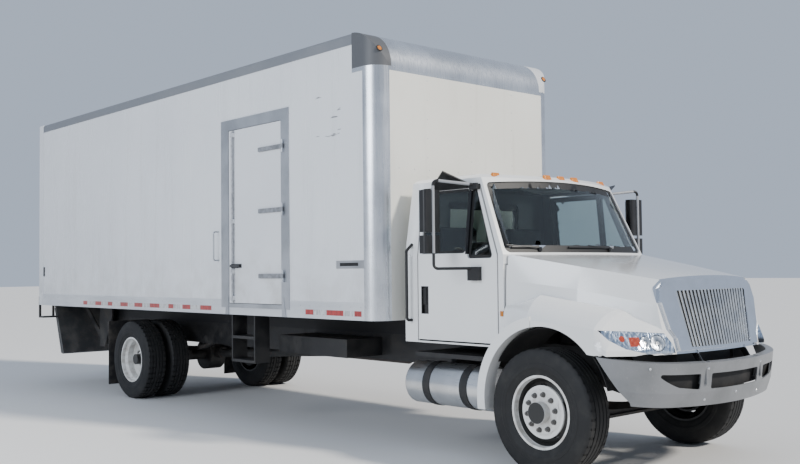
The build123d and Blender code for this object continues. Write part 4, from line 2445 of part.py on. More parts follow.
# Its rod, with a fork whose cheeks straddle the lever's eye
fork_gap = gate_lever_wall / 2 + 6
with BuildPart() as gate_rod:
    rod(
        along_cylinder(cylinder_end - 60),
        along_cylinder(cylinder_line.length - gate_lever_eye - 24),
        gate_rod_radius,
    )
    rod(along_cylinder(cylinder_end - 60), along_cylinder(cylinder_end - 30), gate_piston_radius)
    fork_start = cylinder_line.length - gate_lever_eye - 44
    for side in (-1, 1):
        near_y = max(side * fork_gap, side * (fork_gap + gate_clevis_wall))
        low = Vector(*along_cylinder(fork_start))
        cross = Vector(-cylinder_dir.Z, 0, cylinder_dir.X) * gate_rod_radius
        with BuildSketch(side_plane(near_y)):
            with BuildLine():
                Polyline(
                    (low.X + cross.X, low.Z + cross.Z),
                    (lever_x + cross.X, lever_z + cross.Z),
                    (lever_x - cross.X, lever_z - cross.Z),
                    (low.X - cross.X, low.Z - cross.Z),
                    close=True,
                )
            make_face()
            with Locations((lever_x, lever_z)):
                Circle(gate_rod_radius + 6)
        extrude(amount=gate_clevis_wall)
    rod(
        along_cylinder(fork_start),
        along_cylinder(fork_start + 20),
        fork_gap + gate_clevis_wall,
    )
gate_rod.part.label = "gate_rod"
export_step(gate_rod.part, "parts/gate_rod.step")
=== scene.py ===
import bpy
import bmesh
from math import cos, pi, radians, sin, sqrt
from mathutils import Matrix, Vector


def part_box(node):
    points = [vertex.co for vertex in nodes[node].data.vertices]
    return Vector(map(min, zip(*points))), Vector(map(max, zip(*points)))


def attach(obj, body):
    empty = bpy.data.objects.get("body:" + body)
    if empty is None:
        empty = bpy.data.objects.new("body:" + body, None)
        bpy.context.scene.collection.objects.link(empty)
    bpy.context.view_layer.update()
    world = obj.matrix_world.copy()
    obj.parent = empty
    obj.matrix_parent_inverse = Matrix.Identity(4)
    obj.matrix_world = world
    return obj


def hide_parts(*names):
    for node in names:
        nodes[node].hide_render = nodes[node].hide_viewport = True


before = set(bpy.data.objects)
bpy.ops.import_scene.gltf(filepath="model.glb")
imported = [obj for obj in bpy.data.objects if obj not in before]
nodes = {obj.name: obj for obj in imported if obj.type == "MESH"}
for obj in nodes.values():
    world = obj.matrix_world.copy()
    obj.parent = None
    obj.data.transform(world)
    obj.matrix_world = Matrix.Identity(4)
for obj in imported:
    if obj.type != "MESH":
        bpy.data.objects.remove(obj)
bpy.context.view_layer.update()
print("frame loaded:", len(nodes), "nodes")

# The front axle is the place that every length along the truck is measured from
tyreLow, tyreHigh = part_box("front_tyre_left")
axleX = (tyreLow[0] + tyreHigh[0]) / 2
axleZ = (tyreLow[2] + tyreHigh[2]) / 2
rearLow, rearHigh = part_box("rear_tyres_left")
rearAxleX = (rearLow[0] + rearHigh[0]) / 2
sides = (("Left", 1), ("Right", -1))


def at(x, y, z):
    # A point given from the front axle along the truck
    return Vector((axleX + x, y, z))


# Materials
class Skin:
    # A material built up from nodes. Methods that add nodes give back the socket with the result
    def __init__(self, name, roughness=0.5, metallic=0.0, **sockets):
        self.material = bpy.data.materials.new(name)
        self.material.use_nodes = True
        self.tree = self.material.node_tree
        self.shader = self.tree.nodes["Principled BSDF"]
        self.shader.inputs["Roughness"].default_value = roughness
        self.shader.inputs["Metallic"].default_value = metallic
        for label, value in sockets.items():
            self.shader.inputs[label.replace("_", " ")].default_value = value

    def feed(self, socket, value):
        # Numbers and colours are set on the socket, other sockets are linked to it
        if isinstance(value, tuple):
            socket.default_value = (*value, 1.0)
        elif isinstance(value, (int, float)):
            socket.default_value = value
        else:
            self.tree.links.new(value, socket)

    def coords(self, stretch=(1, 1, 1)):
        source = self.tree.nodes.new("ShaderNodeTexCoord")
        mapping = self.tree.nodes.new("ShaderNodeMapping")
        mapping.inputs["Scale"].default_value = stretch
        self.feed(mapping.inputs["Vector"], source.outputs["Object"])
        return mapping.outputs["Vector"]

    def axes(self):
        node = self.tree.nodes.new("ShaderNodeSeparateXYZ")
        self.feed(node.inputs["Vector"], self.coords())
        return node.outputs

    def noise(self, scale, detail=3.0, stretch=(1, 1, 1)):
        node = self.tree.nodes.new("ShaderNodeTexNoise")
        self.feed(node.inputs["Vector"], self.coords(stretch))
        for label, value in (("Scale", scale), ("Detail", detail), ("Roughness", 0.55)):
            self.feed(node.inputs[label], value)
        return node.outputs["Fac"]

    def ramp(self, value, low, high, lowOut=0.0, highOut=1.0):
        node = self.tree.nodes.new("ShaderNodeMapRange")
        node.interpolation_type = "SMOOTHSTEP"
        labels = ("Value", "From Min", "From Max", "To Min", "To Max")
        for label, each in zip(labels, (value, low, high, lowOut, highOut)):
            self.feed(node.inputs[label], each)
        return node.outputs["Result"]

    def cloud(self, scale, detail, low, high, stretch=(1, 1, 1)):
        # Noise with its soft edges drawn together
        return self.ramp(self.noise(scale, detail, stretch), low, high)

    def between(self, mask, start, end):
        # One value where the mask is 0 and another where it is 1
        return self.ramp(mask, 0.0, 1.0, start, end)

    def math(self, operation, *values, clamp=False):
        node = self.tree.nodes.new("ShaderNodeMath")
        node.operation = operation
        node.use_clamp = clamp
        for socket, value in zip(node.inputs, values):
            self.feed(socket, value)
        return node.outputs["Value"]

    def times(self, first, second):
        return self.math("MULTIPLY", first, second)

    def minus(self, first, second):
        return self.math("SUBTRACT", first, second)

    def plus(self, first, second):
        return self.math("ADD", first, second)

    def either(self, first, second):
        # Both masks together, never above 1
        return self.math("ADD", first, second, clamp=True)

    def lesser(self, *values):
        least = values[0]
        for value in values[1:]:
            least = self.math("MINIMUM", least, value)
        return least

    def span(self, first, second):
        # The long side over two short ones
        return self.math("SQRT", self.plus(self.times(first, first), self.times(second, second)))

    def mix(self, factor, first, second):
        node = self.tree.nodes.new("ShaderNodeMix")
        node.data_type = "RGBA"
        for index, value in ((0, factor), (6, first), (7, second)):
            self.feed(node.inputs[index], value)
        return node.outputs[2]

    def band(self, axis, low, high, soft=0.004):
        # 1 between two places along an axis, fading over a soft edge
        place = self.axes()[axis]
        rising = self.ramp(place, low - soft, low + soft)
        return self.times(rising, self.ramp(place, high - soft, high + soft, 1.0, 0.0))

    def zone(self, limits, soft=0.004):
        # Product of bands: limits is {"X": (low, high), ...}
        mask = None
        for axis, (low, high) in limits.items():
            part = self.band(axis, low, high, soft)
            mask = part if mask is None else self.times(mask, part)
        return mask

    def color(self, value):
        self.feed(self.shader.inputs["Base Color"], value)
        return self

    def value(self, label, value):
        self.feed(self.shader.inputs[label], value)

    def bump(self, height, strength=0.2, distance=0.002):
        node = self.tree.nodes.new("ShaderNodeBump")
        for label, each in (("Strength", strength), ("Distance", distance), ("Height", height)):
            self.feed(node.inputs[label], each)
        self.feed(self.shader.inputs["Normal"], node.outputs["Normal"])

    def present(self):
        # What the base colour has so far
        return self.shader.inputs["Base Color"].links[0].from_socket


def scaled(color, factor):
    return tuple(factor * c for c in color)


def paint(name, color, dust, roughness=0.32, coat=0.5, dustHigh=1.3, dustLow=0.35, speckle=0.35):
    # Painted metal with road dust that thins upwards, fine specks and a faint orange peel
    skin = Skin(name, roughness, Coat_Weight=coat, Coat_Roughness=0.12)
    fade = skin.ramp(skin.axes()["Z"], dustLow, dustHigh, 1.0, 0.0)
    dirt = skin.times(fade, skin.cloud(3.0, 6.0, 0.35, 0.75))
    dirt = skin.either(dirt, skin.times(skin.cloud(90.0, 2.0, 0.66, 0.78), speckle))
    tone = skin.mix(skin.cloud(0.9, 2.0, 0.3, 0.7), color, scaled(color, 0.95))
    skin.color(skin.mix(skin.times(dirt, 0.6), tone, dust))
    skin.value("Roughness", skin.between(dirt, roughness, 0.75))
    skin.bump(skin.noise(220.0, 1.0), 0.03, 0.0006)
    return skin


def bareMetal(name, color, roughness=0.34, grain=(1, 1, 14), scale=16.0, blotch=0.12):
    # Bare metal with a drawn grain along one direction and soft stains
    skin = Skin(name, roughness, 0.95)
    lines = skin.noise(scale, 3.0, grain)
    skin.color(skin.mix(skin.cloud(2.2, 4.0, 0.35, 0.7), color, scaled(color, 0.78)))
    skin.value("Roughness", skin.math("MULTIPLY_ADD", lines, blotch, roughness - blotch / 2))
    skin.bump(lines, 0.12, 0.0008)
    return skin


def plainPaint(name, color, rust, roughness=0.55, amount=0.25):
    # Chassis black: satin paint with dust, chips and a little rust
    skin = Skin(name, roughness)
    cloud = skin.cloud(5.0, 5.0, 0.4, 0.75)
    dusty = skin.mix(skin.times(cloud, amount), color, (0.2, 0.185, 0.165))
    skin.color(skin.mix(skin.times(skin.cloud(34.0, 5.0, 0.6, 0.68), amount), dusty, rust))
    skin.value("Roughness", skin.between(cloud, roughness - 0.1, roughness + 0.2))
    skin.bump(skin.noise(60.0, 3.0), 0.12, 0.001)
    return skin


def rubber(name, color, dust, roughness=0.75):
    skin = Skin(name, roughness)
    skin.color(skin.mix(skin.times(skin.cloud(7.0, 6.0, 0.42, 0.8), 0.5), color, dust))
    skin.bump(skin.noise(120.0, 2.0), 0.15, 0.0008)
    return skin


# The cab's faces as slopes, from the front axle and above the ground: inside them is lining
cabSettings = {
    "waist": 1.78, "sideY": 0.998, "sideLean": 0.1163, "backX": -1.698, "backLean": 0.058,
    "frontX": -0.51, "frontLean": 0.462, "bow": 0.155, "roofZ": 2.495, "roofFall": 0.06,
    "recess": ((-1.503, -1.404), (1.252, 1.506)), "post": ((-0.934, -0.904), (1.79, 2.377)),
}


def cabSkin(name, color, dust, settings):
    # White cab paint with a dark plastic inside, and black in the handle recess and window post
    skin = paint(name, color, dust, 0.2, 0.9)
    painted = skin.present()
    x, y, z = skin.axes()
    side = skin.math("ABSOLUTE", y)
    rise = skin.math("MAXIMUM", skin.minus(z, settings["waist"]), 0.0)
    wall = skin.minus(settings["sideY"], skin.times(rise, settings["sideLean"]))
    back = skin.plus(skin.times(rise, settings["backLean"]), axleX + settings["backX"])
    bow = skin.minus(settings["bow"], skin.times(skin.times(side, side), settings["bow"]))
    front = skin.minus(axleX + settings["frontX"], skin.times(rise, settings["frontLean"]))
    roof = skin.minus(settings["roofZ"], skin.times(side, settings["roofFall"]))
    fromFront = skin.minus(skin.plus(front, bow), x)
    depth = skin.lesser(skin.minus(wall, side), skin.minus(x, back), fromFront, skin.minus(roof, z))
    inside = skin.ramp(depth, 0.0, 0.004)

    def patch(along, heights):
        return skin.zone({"X": (axleX + along[0], axleX + along[1]), "Z": heights}, 0.001)

    patches = skin.either(patch(*settings["recess"]), patch(*settings["post"]))
    black = skin.times(patches, skin.ramp(side, 0.9, 0.91))
    lining = skin.mix(skin.noise(60.0, 2.0), (0.045, 0.044, 0.043), (0.075, 0.073, 0.07))
    skin.color(skin.mix(black, skin.mix(inside, painted, lining), (0.008, 0.008, 0.009)))
    skin.value("Coat Weight", skin.between(skin.either(inside, black), 0.9, 0.0))
    return skin


# The bars' bowed and leaning front face, and how far behind it the mesh lies
barSettings = {
    "faceX": 0.987, "widthShare": 1.25, "bow": 0.026, "squareBow": 0.052, "low": 0.99, "lean": 0.19,
    "depth": (0.026, 0.034),
}


def chromeBars(settings):
    # Bright bars with the mesh behind them dark
    skin = Skin("chromeBars", 0.14, 0.95)
    x, y, z = skin.axes()
    share = skin.times(skin.math("ABSOLUTE", y), settings["widthShare"])
    square = skin.times(skin.times(share, share), settings["squareBow"])
    bow = skin.plus(skin.times(share, settings["bow"]), square)
    lean = skin.times(skin.minus(z, settings["low"]), settings["lean"])
    behind = skin.minus(skin.minus(axleX + settings["faceX"], skin.plus(bow, lean)), x)
    mesh = skin.ramp(behind, *settings["depth"])
    metal = skin.mix(skin.cloud(9.0, 4.0, 0.35, 0.7), (0.86, 0.85, 0.82), (0.66, 0.67, 0.68))
    skin.color(skin.mix(mesh, metal, (0.006, 0.007, 0.009)))
    skin.value("Metallic", skin.between(mesh, 0.95, 0.0))
    skin.value("Roughness", skin.between(mesh, 0.14, 0.6))
    return skin


def surroundChrome():
    # Bright chrome with soft stains; the hinge brackets below it are black
    skin = Skin("surroundChrome", 0.08, 0.97)
    stain = skin.cloud(6.0, 4.0, 0.4, 0.7)
    metal = skin.mix(skin.times(stain, 0.3), (0.74, 0.77, 0.82), (0.58, 0.6, 0.62))
    low = skin.ramp(skin.axes()["Z"], 0.984, 0.988, 1.0, 0.0)
    skin.color(skin.mix(low, metal, (0.01, 0.01, 0.011)))
    skin.value("Metallic", skin.between(low, 0.97, 0.0))
    skin.value("Roughness", skin.ramp(skin.noise(14.0, 3.0), 0.3, 0.7, 0.06, 0.16))
    return skin


# Places on the lamp's face: along it from its outer tip, and above the ground
lampSettings = {
    "tipY": 1.155, "tipX": 0.585, "acrossShare": 0.8387, "forwardShare": 0.5446,
    "bowls": ((0.455, 1.082, 0.058), (0.355, 1.088, 0.044)), "amberRound": (0.178, 1.118, 0.024),
    "amberAlong": (0.228, 0.316), "amberRise": (1.058, 1.132), "amberSoft": 0.006,
}


def headlightLens(settings):
    # Clear lamp: a blue painted reflection, two bowls in painted shade with painted bulb highlights
    # and rings of painted shade, an amber reflector and a small round amber lamp
    skin = Skin("headlightLens", 0.06, 0.0, Coat_Weight=1.0, Coat_Roughness=0.02)
    x, y, z = skin.axes()
    side = skin.math("ABSOLUTE", y)
    inward = skin.times(skin.minus(settings["tipY"], side), settings["acrossShare"])
    forward = skin.times(skin.minus(x, axleX + settings["tipX"]), settings["forwardShare"])
    along = skin.plus(inward, forward)
    flutes = skin.noise(26.0, 2.0, (2.2, 2.2, 0.6))
    # Painted reflection: the clear lamp's body is coloured blue, standing for sky seen in its lens
    # and reflector
    color = skin.mix(skin.ramp(flutes, 0.35, 0.65), (0.22, 0.29, 0.40), (0.50, 0.58, 0.70))
    height = flutes
    # Painted shade in each bowl: dark in the middle and bright at the edge; the same shading also
    # gives the bump
    for middle, level, size in settings["bowls"]:
        away = skin.span(skin.minus(along, middle), skin.minus(z, level))
        paintedShadeAndDepth = skin.ramp(away, 0.0, size)
        inner = skin.mix(paintedShadeAndDepth, (0.05, 0.06, 0.08), (0.55, 0.60, 0.66))
        color = skin.mix(skin.ramp(away, size * 0.93, size, 1.0, 0.0), color, inner)
        # Painted highlight: a near white spot for the bulb
        paintedBulbHighlight = skin.ramp(away, size * 0.2, size * 0.26, 1.0, 0.0)
        color = skin.mix(paintedBulbHighlight, color, (0.95, 0.95, 0.92))
        # Painted shade: a dark ring round the bowl's rim
        beyond = skin.ramp(away, size * 1.04, size * 1.12, 1.0, 0.0)
        rim = skin.times(skin.ramp(away, size * 0.93, size), beyond)
        color = skin.mix(rim, color, (0.05, 0.055, 0.06))
        height = skin.plus(height, skin.times(paintedShadeAndDepth, 2.0))

    def window(place, low, high):
        # 1 between two places, fading just inside them
        soft = settings["amberSoft"]
        rising = skin.ramp(place, low, low + soft)
        return skin.times(rising, skin.ramp(place, high - soft, high, 1.0, 0.0))

    amberBox = skin.times(window(along, *settings["amberAlong"]), window(z, *settings["amberRise"]))
    middle, level, size = settings["amberRound"]
    away = skin.span(skin.minus(along, middle), skin.minus(z, level))
    amber = skin.either(amberBox, skin.ramp(away, size * 0.875, size, 1.0, 0.0))
    cells = skin.mix(skin.cloud(160.0, 1.0, 0.4, 0.6), (0.46, 0.055, 0.012), (0.26, 0.022, 0.006))
    border = skin.either(skin.ramp(along, 0.02, 0.035, 1.0, 0.0), skin.ramp(along, 0.575, 0.59))
    skin.color(skin.mix(border, skin.mix(amber, color, cells), (0.012, 0.013, 0.016)))
    skin.value("Metallic", skin.between(amber, 0.75, 0.0))
    skin.value("Roughness", skin.ramp(flutes, 0.3, 0.7, 0.08, 0.3))
    skin.bump(height, 0.35, 0.006)
    return skin


# Hardware standing proud of the side door's leaf, from the front axle and above the ground
leafSettings = {
    "proud": (-1.4, -1.2955), "straps": (-3.752, -3.27),
    "strapRises": ((1.5835, 1.6325), (2.2835, 2.3325), (2.9485, 2.9975)),
    "rod": (-4.29, -4.235), "handle": (-4.3, -4.1), "handleRise": (1.70, 1.745),
}


def doorSkin(settings):
    # Side door leaf: white panel; the lock rod is galvanised, the handle dark, and the straps a
    # dark grey that is partly their metal and partly painted shade
    skin = paint("doorSkin", (0.75, 0.765, 0.785), (0.42, 0.41, 0.39), 0.34, 0.25, 2.2, 1.3, 0.1)
    painted = skin.present()

    def part(along, rise=None):
        limits = {"X": (axleX + along[0], axleX + along[1]), "Y": settings["proud"]}
        return skin.zone({**limits, "Z": rise} if rise else limits, 0.001)

    low, middle, top = (part(settings["straps"], rise) for rise in settings["strapRises"])
    straps = skin.either(skin.either(low, middle), top)
    stain = skin.cloud(24.0, 4.0, 0.35, 0.7)
    rodMetal = skin.mix(stain, (0.5, 0.51, 0.53), (0.36, 0.365, 0.38))
    # Straps: grey metal darkened with painted shade
    strapGreyAndShade = skin.mix(stain, (0.26, 0.27, 0.29), (0.15, 0.155, 0.165))
    toned = skin.mix(part(settings["rod"]), painted, rodMetal)
    toned = skin.mix(straps, toned, strapGreyAndShade)
    handle = part(settings["handle"], settings["handleRise"])
    skin.color(skin.mix(handle, toned, (0.03, 0.03, 0.032)))
    return skin


def sideSkin():
    # Box side: white panel in a bluish grey of painted shade, with faint waves, streaks from the
    # top and black scrapes at the front
    skin = Skin("sideSkin", 0.3, Coat_Weight=0.25, Coat_Roughness=0.2)
    streaks = skin.cloud(2.4, 5.0, 0.5, 0.78, (3.0, 3.0, 0.22))
    # Painted shade: the white panel is coloured the bluish grey of a white wall in shade
    base = skin.mix(skin.cloud(0.55, 4.0, 0.35, 0.7), (0.77, 0.785, 0.80), (0.71, 0.725, 0.745))
    low = skin.ramp(skin.axes()["Z"], 1.35, 2.1, 0.3, 0.0)
    lowCloud = skin.times(low, skin.cloud(4.0, 6.0, 0.3, 0.7))
    dirty = skin.mix(skin.either(skin.times(streaks, 0.22), lowCloud), base, (0.42, 0.41, 0.39))
    scrape = {"X": (axleX - 2.72, axleX - 2.34), "Y": (-1.31, -1.27), "Z": (2.93, 3.42)}
    marks = skin.times(skin.zone(scrape, 0.03), skin.cloud(5.0, 3.0, 0.63, 0.67, (0.5, 1.0, 4.2)))
    skin.color(skin.mix(marks, dirty, (0.05, 0.05, 0.055)))
    skin.value("Roughness", skin.between(streaks, 0.27, 0.5))
    skin.bump(skin.noise(1.5, 2.0, (1.0, 1.0, 0.6)), 0.25, 0.004)
    return skin


def frontSkin():
    skin = Skin("frontSkin", 0.4, Coat_Weight=0.15, Coat_Roughness=0.25)
    base = skin.mix(skin.cloud(0.8, 5.0, 0.35, 0.7), (0.80, 0.79, 0.73), (0.75, 0.735, 0.67))
    streaks = skin.cloud(2.8, 6.0, 0.52, 0.78, (3.0, 3.0, 0.25))
    skin.color(skin.mix(skin.times(streaks, 0.25), base, (0.5, 0.46, 0.39)))
    skin.bump(skin.noise(1.6, 2.0), 0.2, 0.004)
    return skin


def partlyPainted(skin, lines, painted, grain, strength):
    # Bare metal where the mask is 0, duller and not metallic where it is 1
    skin.value("Metallic", skin.between(painted, 0.95, 0.0))
    rough = skin.math("MULTIPLY_ADD", lines, grain, 0.2)
    skin.value("Roughness", skin.plus(rough, skin.times(painted, 0.2)))
    skin.bump(lines, strength, 0.0008)


def trimMetal():
    # Corner posts and header: bright metal; of the two like castings the near one is painted dark
    # as shade and the far one pale as light
    skin = Skin("trimMetal", 0.3, 0.95)
    lines = skin.noise(5.0, 3.0, (14, 14, 0.5))
    metal = skin.mix(skin.cloud(2.2, 4.0, 0.35, 0.7), (0.72, 0.74, 0.77), (0.56, 0.58, 0.61))
    # Painted shade on the near casting and painted light on the far one
    near = skin.zone({"Y": (-1.4, -1.085), "Z": (3.6, 4.1)}, 0.002)
    far = skin.zone({"Y": (1.085, 1.4), "Z": (3.6, 4.1)}, 0.002)
    skin.color(skin.mix(far, skin.mix(near, metal, (0.085, 0.088, 0.095)), (0.62, 0.63, 0.64)))
    partlyPainted(skin, lines, skin.either(near, far), 0.18, 0.1)
    return skin


def bodyRailMetal():
    skin = Skin("bodyRailMetal", 0.4, 0.5)
    stain = skin.cloud(2.0, 5.0, 0.35, 0.7, (0.5, 2, 2))
    white = skin.mix(stain, (0.72, 0.735, 0.755), (0.6, 0.615, 0.635))
    skin.color(skin.mix(skin.ramp(skin.axes()["Z"], 2.0, 2.1), white, (0.25, 0.26, 0.28)))
    skin.value("Roughness", skin.between(stain, 0.35, 0.55))
    skin.bump(skin.noise(30.0, 2.0), 0.06, 0.0006)
    return skin


def bumperPaint():
    skin = Skin("bumperPaint", 0.4, 0.35, Coat_Weight=0.2, Coat_Roughness=0.3)
    tone = skin.mix(skin.cloud(3.0, 6.0, 0.35, 0.75), (0.235, 0.24, 0.25), (0.175, 0.18, 0.185))
    specks = skin.times(skin.cloud(70.0, 3.0, 0.62, 0.72), 0.25)
    skin.color(skin.mix(specks, tone, (0.42, 0.40, 0.37)))
    skin.bump(skin.noise(260.0, 1.0), 0.05, 0.0005)
    return skin


# Radii on the wheels, and how far out the discs lie
wheelSettings = {
    "bore": (0.083, 0.087), "well": (0.13, 0.19), "rim": (0.2, 0.27),
    "frontDisc": 1.098, "rearDisc": 0.955,
}


def wheelWhite(settings):
    # White steel wheel: dust and rust gather in the well and round the hand holes; the inner side
    # is painted near black as shade
    skin = Skin("wheelWhite", 0.42, Coat_Weight=0.15, Coat_Roughness=0.3)
    x, y, z = skin.axes()
    up = skin.minus(z, axleZ)
    front, rear = (skin.span(skin.minus(x, middle), up) for middle in (axleX, rearAxleX))
    radius = skin.lesser(front, rear)
    cloud = skin.cloud(16.0, 6.0, 0.35, 0.72)
    grime = skin.times(skin.ramp(radius, *settings["rim"]), skin.times(cloud, 0.55))
    grime = skin.either(grime, skin.times(skin.ramp(radius, *settings["well"], 0.4, 0.0), cloud))
    base = skin.mix(grime, (0.75, 0.745, 0.72), (0.3, 0.24, 0.17))
    # Painted shade: all that lies deeper than the disc is painted near black
    discY = skin.ramp(x, axleX - 2.0, axleX - 1.9, settings["rearDisc"], settings["frontDisc"])
    paintedInnerShade = skin.ramp(skin.minus(skin.math("ABSOLUTE", y), discY), -0.002, 0.002, 1.0, 0.0)
    base = skin.mix(paintedInnerShade, base, (0.014, 0.013, 0.012))
    bore = skin.ramp(radius, *settings["bore"], 1.0, 0.0)
    skin.color(skin.mix(bore, base, (0.010, 0.010, 0.010)))
    skin.bump(skin.noise(60.0, 3.0), 0.1, 0.0008)
    return skin


def glass(name, color):
    skin = Skin(name, 0.02, Transmission_Weight=1.0, IOR=1.45).color(color)
    skin.value("Roughness", skin.between(skin.cloud(9.0, 6.0, 0.5, 0.8), 0.02, 0.08))
    return skin


def lens(name, color, roughness=0.15):
    # Coloured lamp lens with moulded flutes
    skin = Skin(name, roughness, Coat_Weight=0.6, Coat_Roughness=0.05)
    flutes = skin.noise(40.0, 1.0, (1, 3, 0.4))
    skin.color(skin.mix(skin.ramp(flutes, 0.3, 0.7), color, scaled(color, 0.6)))
    skin.bump(flutes, 0.3, 0.001)
    return skin


def floorWood():
    skin = Skin("floorWood", 0.6)
    grain = skin.noise(3.0, 6.0, (0.6, 9, 9))
    boards = skin.mix(skin.ramp(grain, 0.3, 0.7), (0.30, 0.19, 0.10), (0.19, 0.115, 0.06))
    # The sills below the boards are black steel
    sills = skin.ramp(skin.axes()["Z"], 1.268, 1.272, 1.0, 0.0)
    skin.color(skin.mix(sills, boards, (0.010, 0.010, 0.012)))
    skin.bump(grain, 0.2, 0.001)
    return skin


def tankMetal():
    # Bare tank with two black straps
    skin = Skin("tankMetal", 0.3, 0.95)
    lines = skin.noise(7.0, 3.0, (0.6, 12, 12))
    metal = skin.mix(skin.cloud(2.4, 5.0, 0.35, 0.7), (0.72, 0.73, 0.74), (0.55, 0.56, 0.57))
    strapHalf, middles = 0.032, (axleX - 0.953, axleX - 1.423)
    first, second = (skin.band("X", x - strapHalf, x + strapHalf, 0.001) for x in middles)
    straps = skin.either(first, second)
    skin.color(skin.mix(straps, metal, (0.015, 0.015, 0.016)))
    partlyPainted(skin, lines, straps, 0.22, 0.12)
    return skin


frameBlack = plainPaint("frameBlack", (0.009, 0.009, 0.010), (0.07, 0.035, 0.02), 0.6, 0.14)
tyreRubber = rubber("tyreRubber", (0.007, 0.007, 0.0075), (0.035, 0.033, 0.03), 0.72)
mirrorPlastic = rubber("mirrorPlastic", (0.007, 0.007, 0.008), (0.02, 0.02, 0.021), 0.38)
seatCloth = rubber("seatCloth", (0.035, 0.036, 0.04), (0.07, 0.07, 0.075), 0.9)
lightTube = rubber("lightTube", (0.30, 0.31, 0.33), (0.36, 0.36, 0.36), 0.4)
clearGlass = glass("clearGlass", (0.62, 0.70, 0.68))
lampAmber = lens("lampAmber", (0.75, 0.24, 0.02))

finishes = {
    frameBlack: ("frame_rails", "steps", "battery_box"),
    plainPaint("engineIron", (0.03, 0.03, 0.03), (0.15, 0.07, 0.035), 0.7, 0.25): (
        "engine_block", "radiator", "driveline",
    ),
    plainPaint("exhaustSteel", (0.07, 0.05, 0.042), (0.16, 0.075, 0.04), 0.65, 0.6): ("exhaust",),
    plainPaint("axleBlack", (0.016, 0.014, 0.013), (0.12, 0.055, 0.03), 0.65, 0.35): (
        "front_axle", "rear_axle", "leaf_springs", "knuckle_left", "knuckle_right", "tie_rod",
    ),
    plainPaint("gateSteel", (0.014, 0.014, 0.015), (0.12, 0.06, 0.035), 0.6, 0.35): (
        "gate_frame", "gate_arms", "gate_shackle", "gate_cylinder",
    ),
    bareMetal("polishedRod", (0.7, 0.7, 0.7), 0.18, (1, 1, 1), 40.0, 0.08): ("gate_rod",),
    plainPaint("treadAluminium", (0.045, 0.047, 0.05), (0.13, 0.08, 0.05), 0.5, 0.4): (
        "gate_platform", "gate_flip",
    ),
    cabSkin("cabPaint", (0.84, 0.84, 0.825), (0.36, 0.33, 0.28), cabSettings): (
        "cab_shell", "hood_shell", "cab_door_left", "cab_door_right",
    ),
    surroundChrome(): ("grille_surround",),
    chromeBars(barSettings): ("grille_bars",),
    bareMetal("frameAluminium", (0.52, 0.54, 0.57), 0.45, (6, 6, 2), 8.0, 0.2): (
        "side_door_frame",
    ),
    bodyRailMetal(): ("body_rails",),
    trimMetal(): ("front_trim",),
    sideSkin(): ("box_left_wall", "box_right_wall", "box_roof"),
    frontSkin(): ("box_front_wall",),
    doorSkin(leafSettings): ("side_door",),
    paint("doorWhite", (0.74, 0.755, 0.775), (0.42, 0.41, 0.39), 0.34, 0.25, 2.2, 1.3, 0.1): (
        "rear_door", "rear_frame",
    ),
    bumperPaint(): ("front_bumper",),
    wheelWhite(wheelSettings): (
        "front_wheel_left", "front_wheel_right", "rear_wheels_left", "rear_wheels_right",
    ),
    tyreRubber: ("front_tyre_left", "front_tyre_right", "rear_tyres_left", "rear_tyres_right"),
    rubber("flapRubber", (0.012, 0.012, 0.013), (0.14, 0.12, 0.1), 0.7): ("mud_flaps",),
    mirrorPlastic: ("mirror_left", "mirror_right"),
    rubber("cabPlastic", (0.16, 0.155, 0.14), (0.24, 0.23, 0.2), 0.6): ("dashboard", "seats"),
    clearGlass: ("cab_glass", "door_glass_left", "door_glass_right"),
    headlightLens(lampSettings): ("headlights",),
    lampAmber: ("marker_lamps",),
    floorWood(): ("box_floor",),
    tankMetal(): ("fuel_tank",),
}
for skin, names in finishes.items():
    for name in names:
        mesh = nodes[name].data
        mesh.materials.clear()
        mesh.materials.append(skin.material)
unfinished = sorted(set(nodes) - {name for names in finishes.values() for name in names})
print("materials set; nodes without one:", unfinished)


# Making pieces
def givePiece(shape, name, skins, body, smoothAngle=35, recalc=True):
    # Turns a bmesh into a finished piece that rides on a body
    if recalc:
        bmesh.ops.remove_doubles(shape, verts=shape.verts, dist=0.00002)
        bmesh.ops.recalc_face_normals(shape, faces=shape.faces)
    mesh = bpy.data.meshes.new(name)
    shape.to_mesh(mesh)
    shape.free()
    for skin in skins if isinstance(skins, tuple) else (skins,):
        mesh.materials.append(skin.material)
    mesh.shade_smooth()
    mesh.set_sharp_from_angle(angle=radians(smoothAngle))
    piece = bpy.data.objects.new(name, mesh)
    bpy.context.scene.collection.objects.link(piece)
    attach(piece, body)
    return piece


def addBlock(shape, low, high, bevel=0.0, segments=2):
    # A box between two corners with softened edges
    low, high = Vector(low), Vector(high)
    size = high - low
    place = Matrix.Translation((low + high) / 2) @ Matrix.Diagonal((*[abs(v) for v in size], 1))
    made = bmesh.ops.create_cube(shape, size=1, matrix=place)
    if bevel:
        edges = {edge for vert in made["verts"] for edge in vert.link_edges}
        bmesh.ops.bevel(
            shape, geom=list(edges), offset=bevel, affect="EDGES", segments=segments, profile=0.5,
            material=-1,
        )


def addRod(shape, start, end, radius, sides=16, endRadius=None):
    # A round bar between two points
    start, end = Vector(start), Vector(end)
    along = end - start
    turn = along.to_track_quat("Z", "Y").to_matrix().to_4x4()
    endRadius = radius if endRadius is None else endRadius
    bmesh.ops.create_cone(
        shape, cap_ends=True, segments=sides, radius1=radius, radius2=endRadius,
        depth=along.length, matrix=Matrix.Translation((start + end) / 2) @ turn,
    )


def addTube(shape, points, radius, sides=10):
    # A bent bar through points, with a ball at each bend
    for first, second in zip(points, points[1:]):
        addRod(shape, first, second, radius, sides)
    for point in points[1:-1]:
        place = Matrix.Translation(Vector(point))
        bmesh.ops.create_uvsphere(
            shape, u_segments=sides, v_segments=6, radius=radius, matrix=place
        )


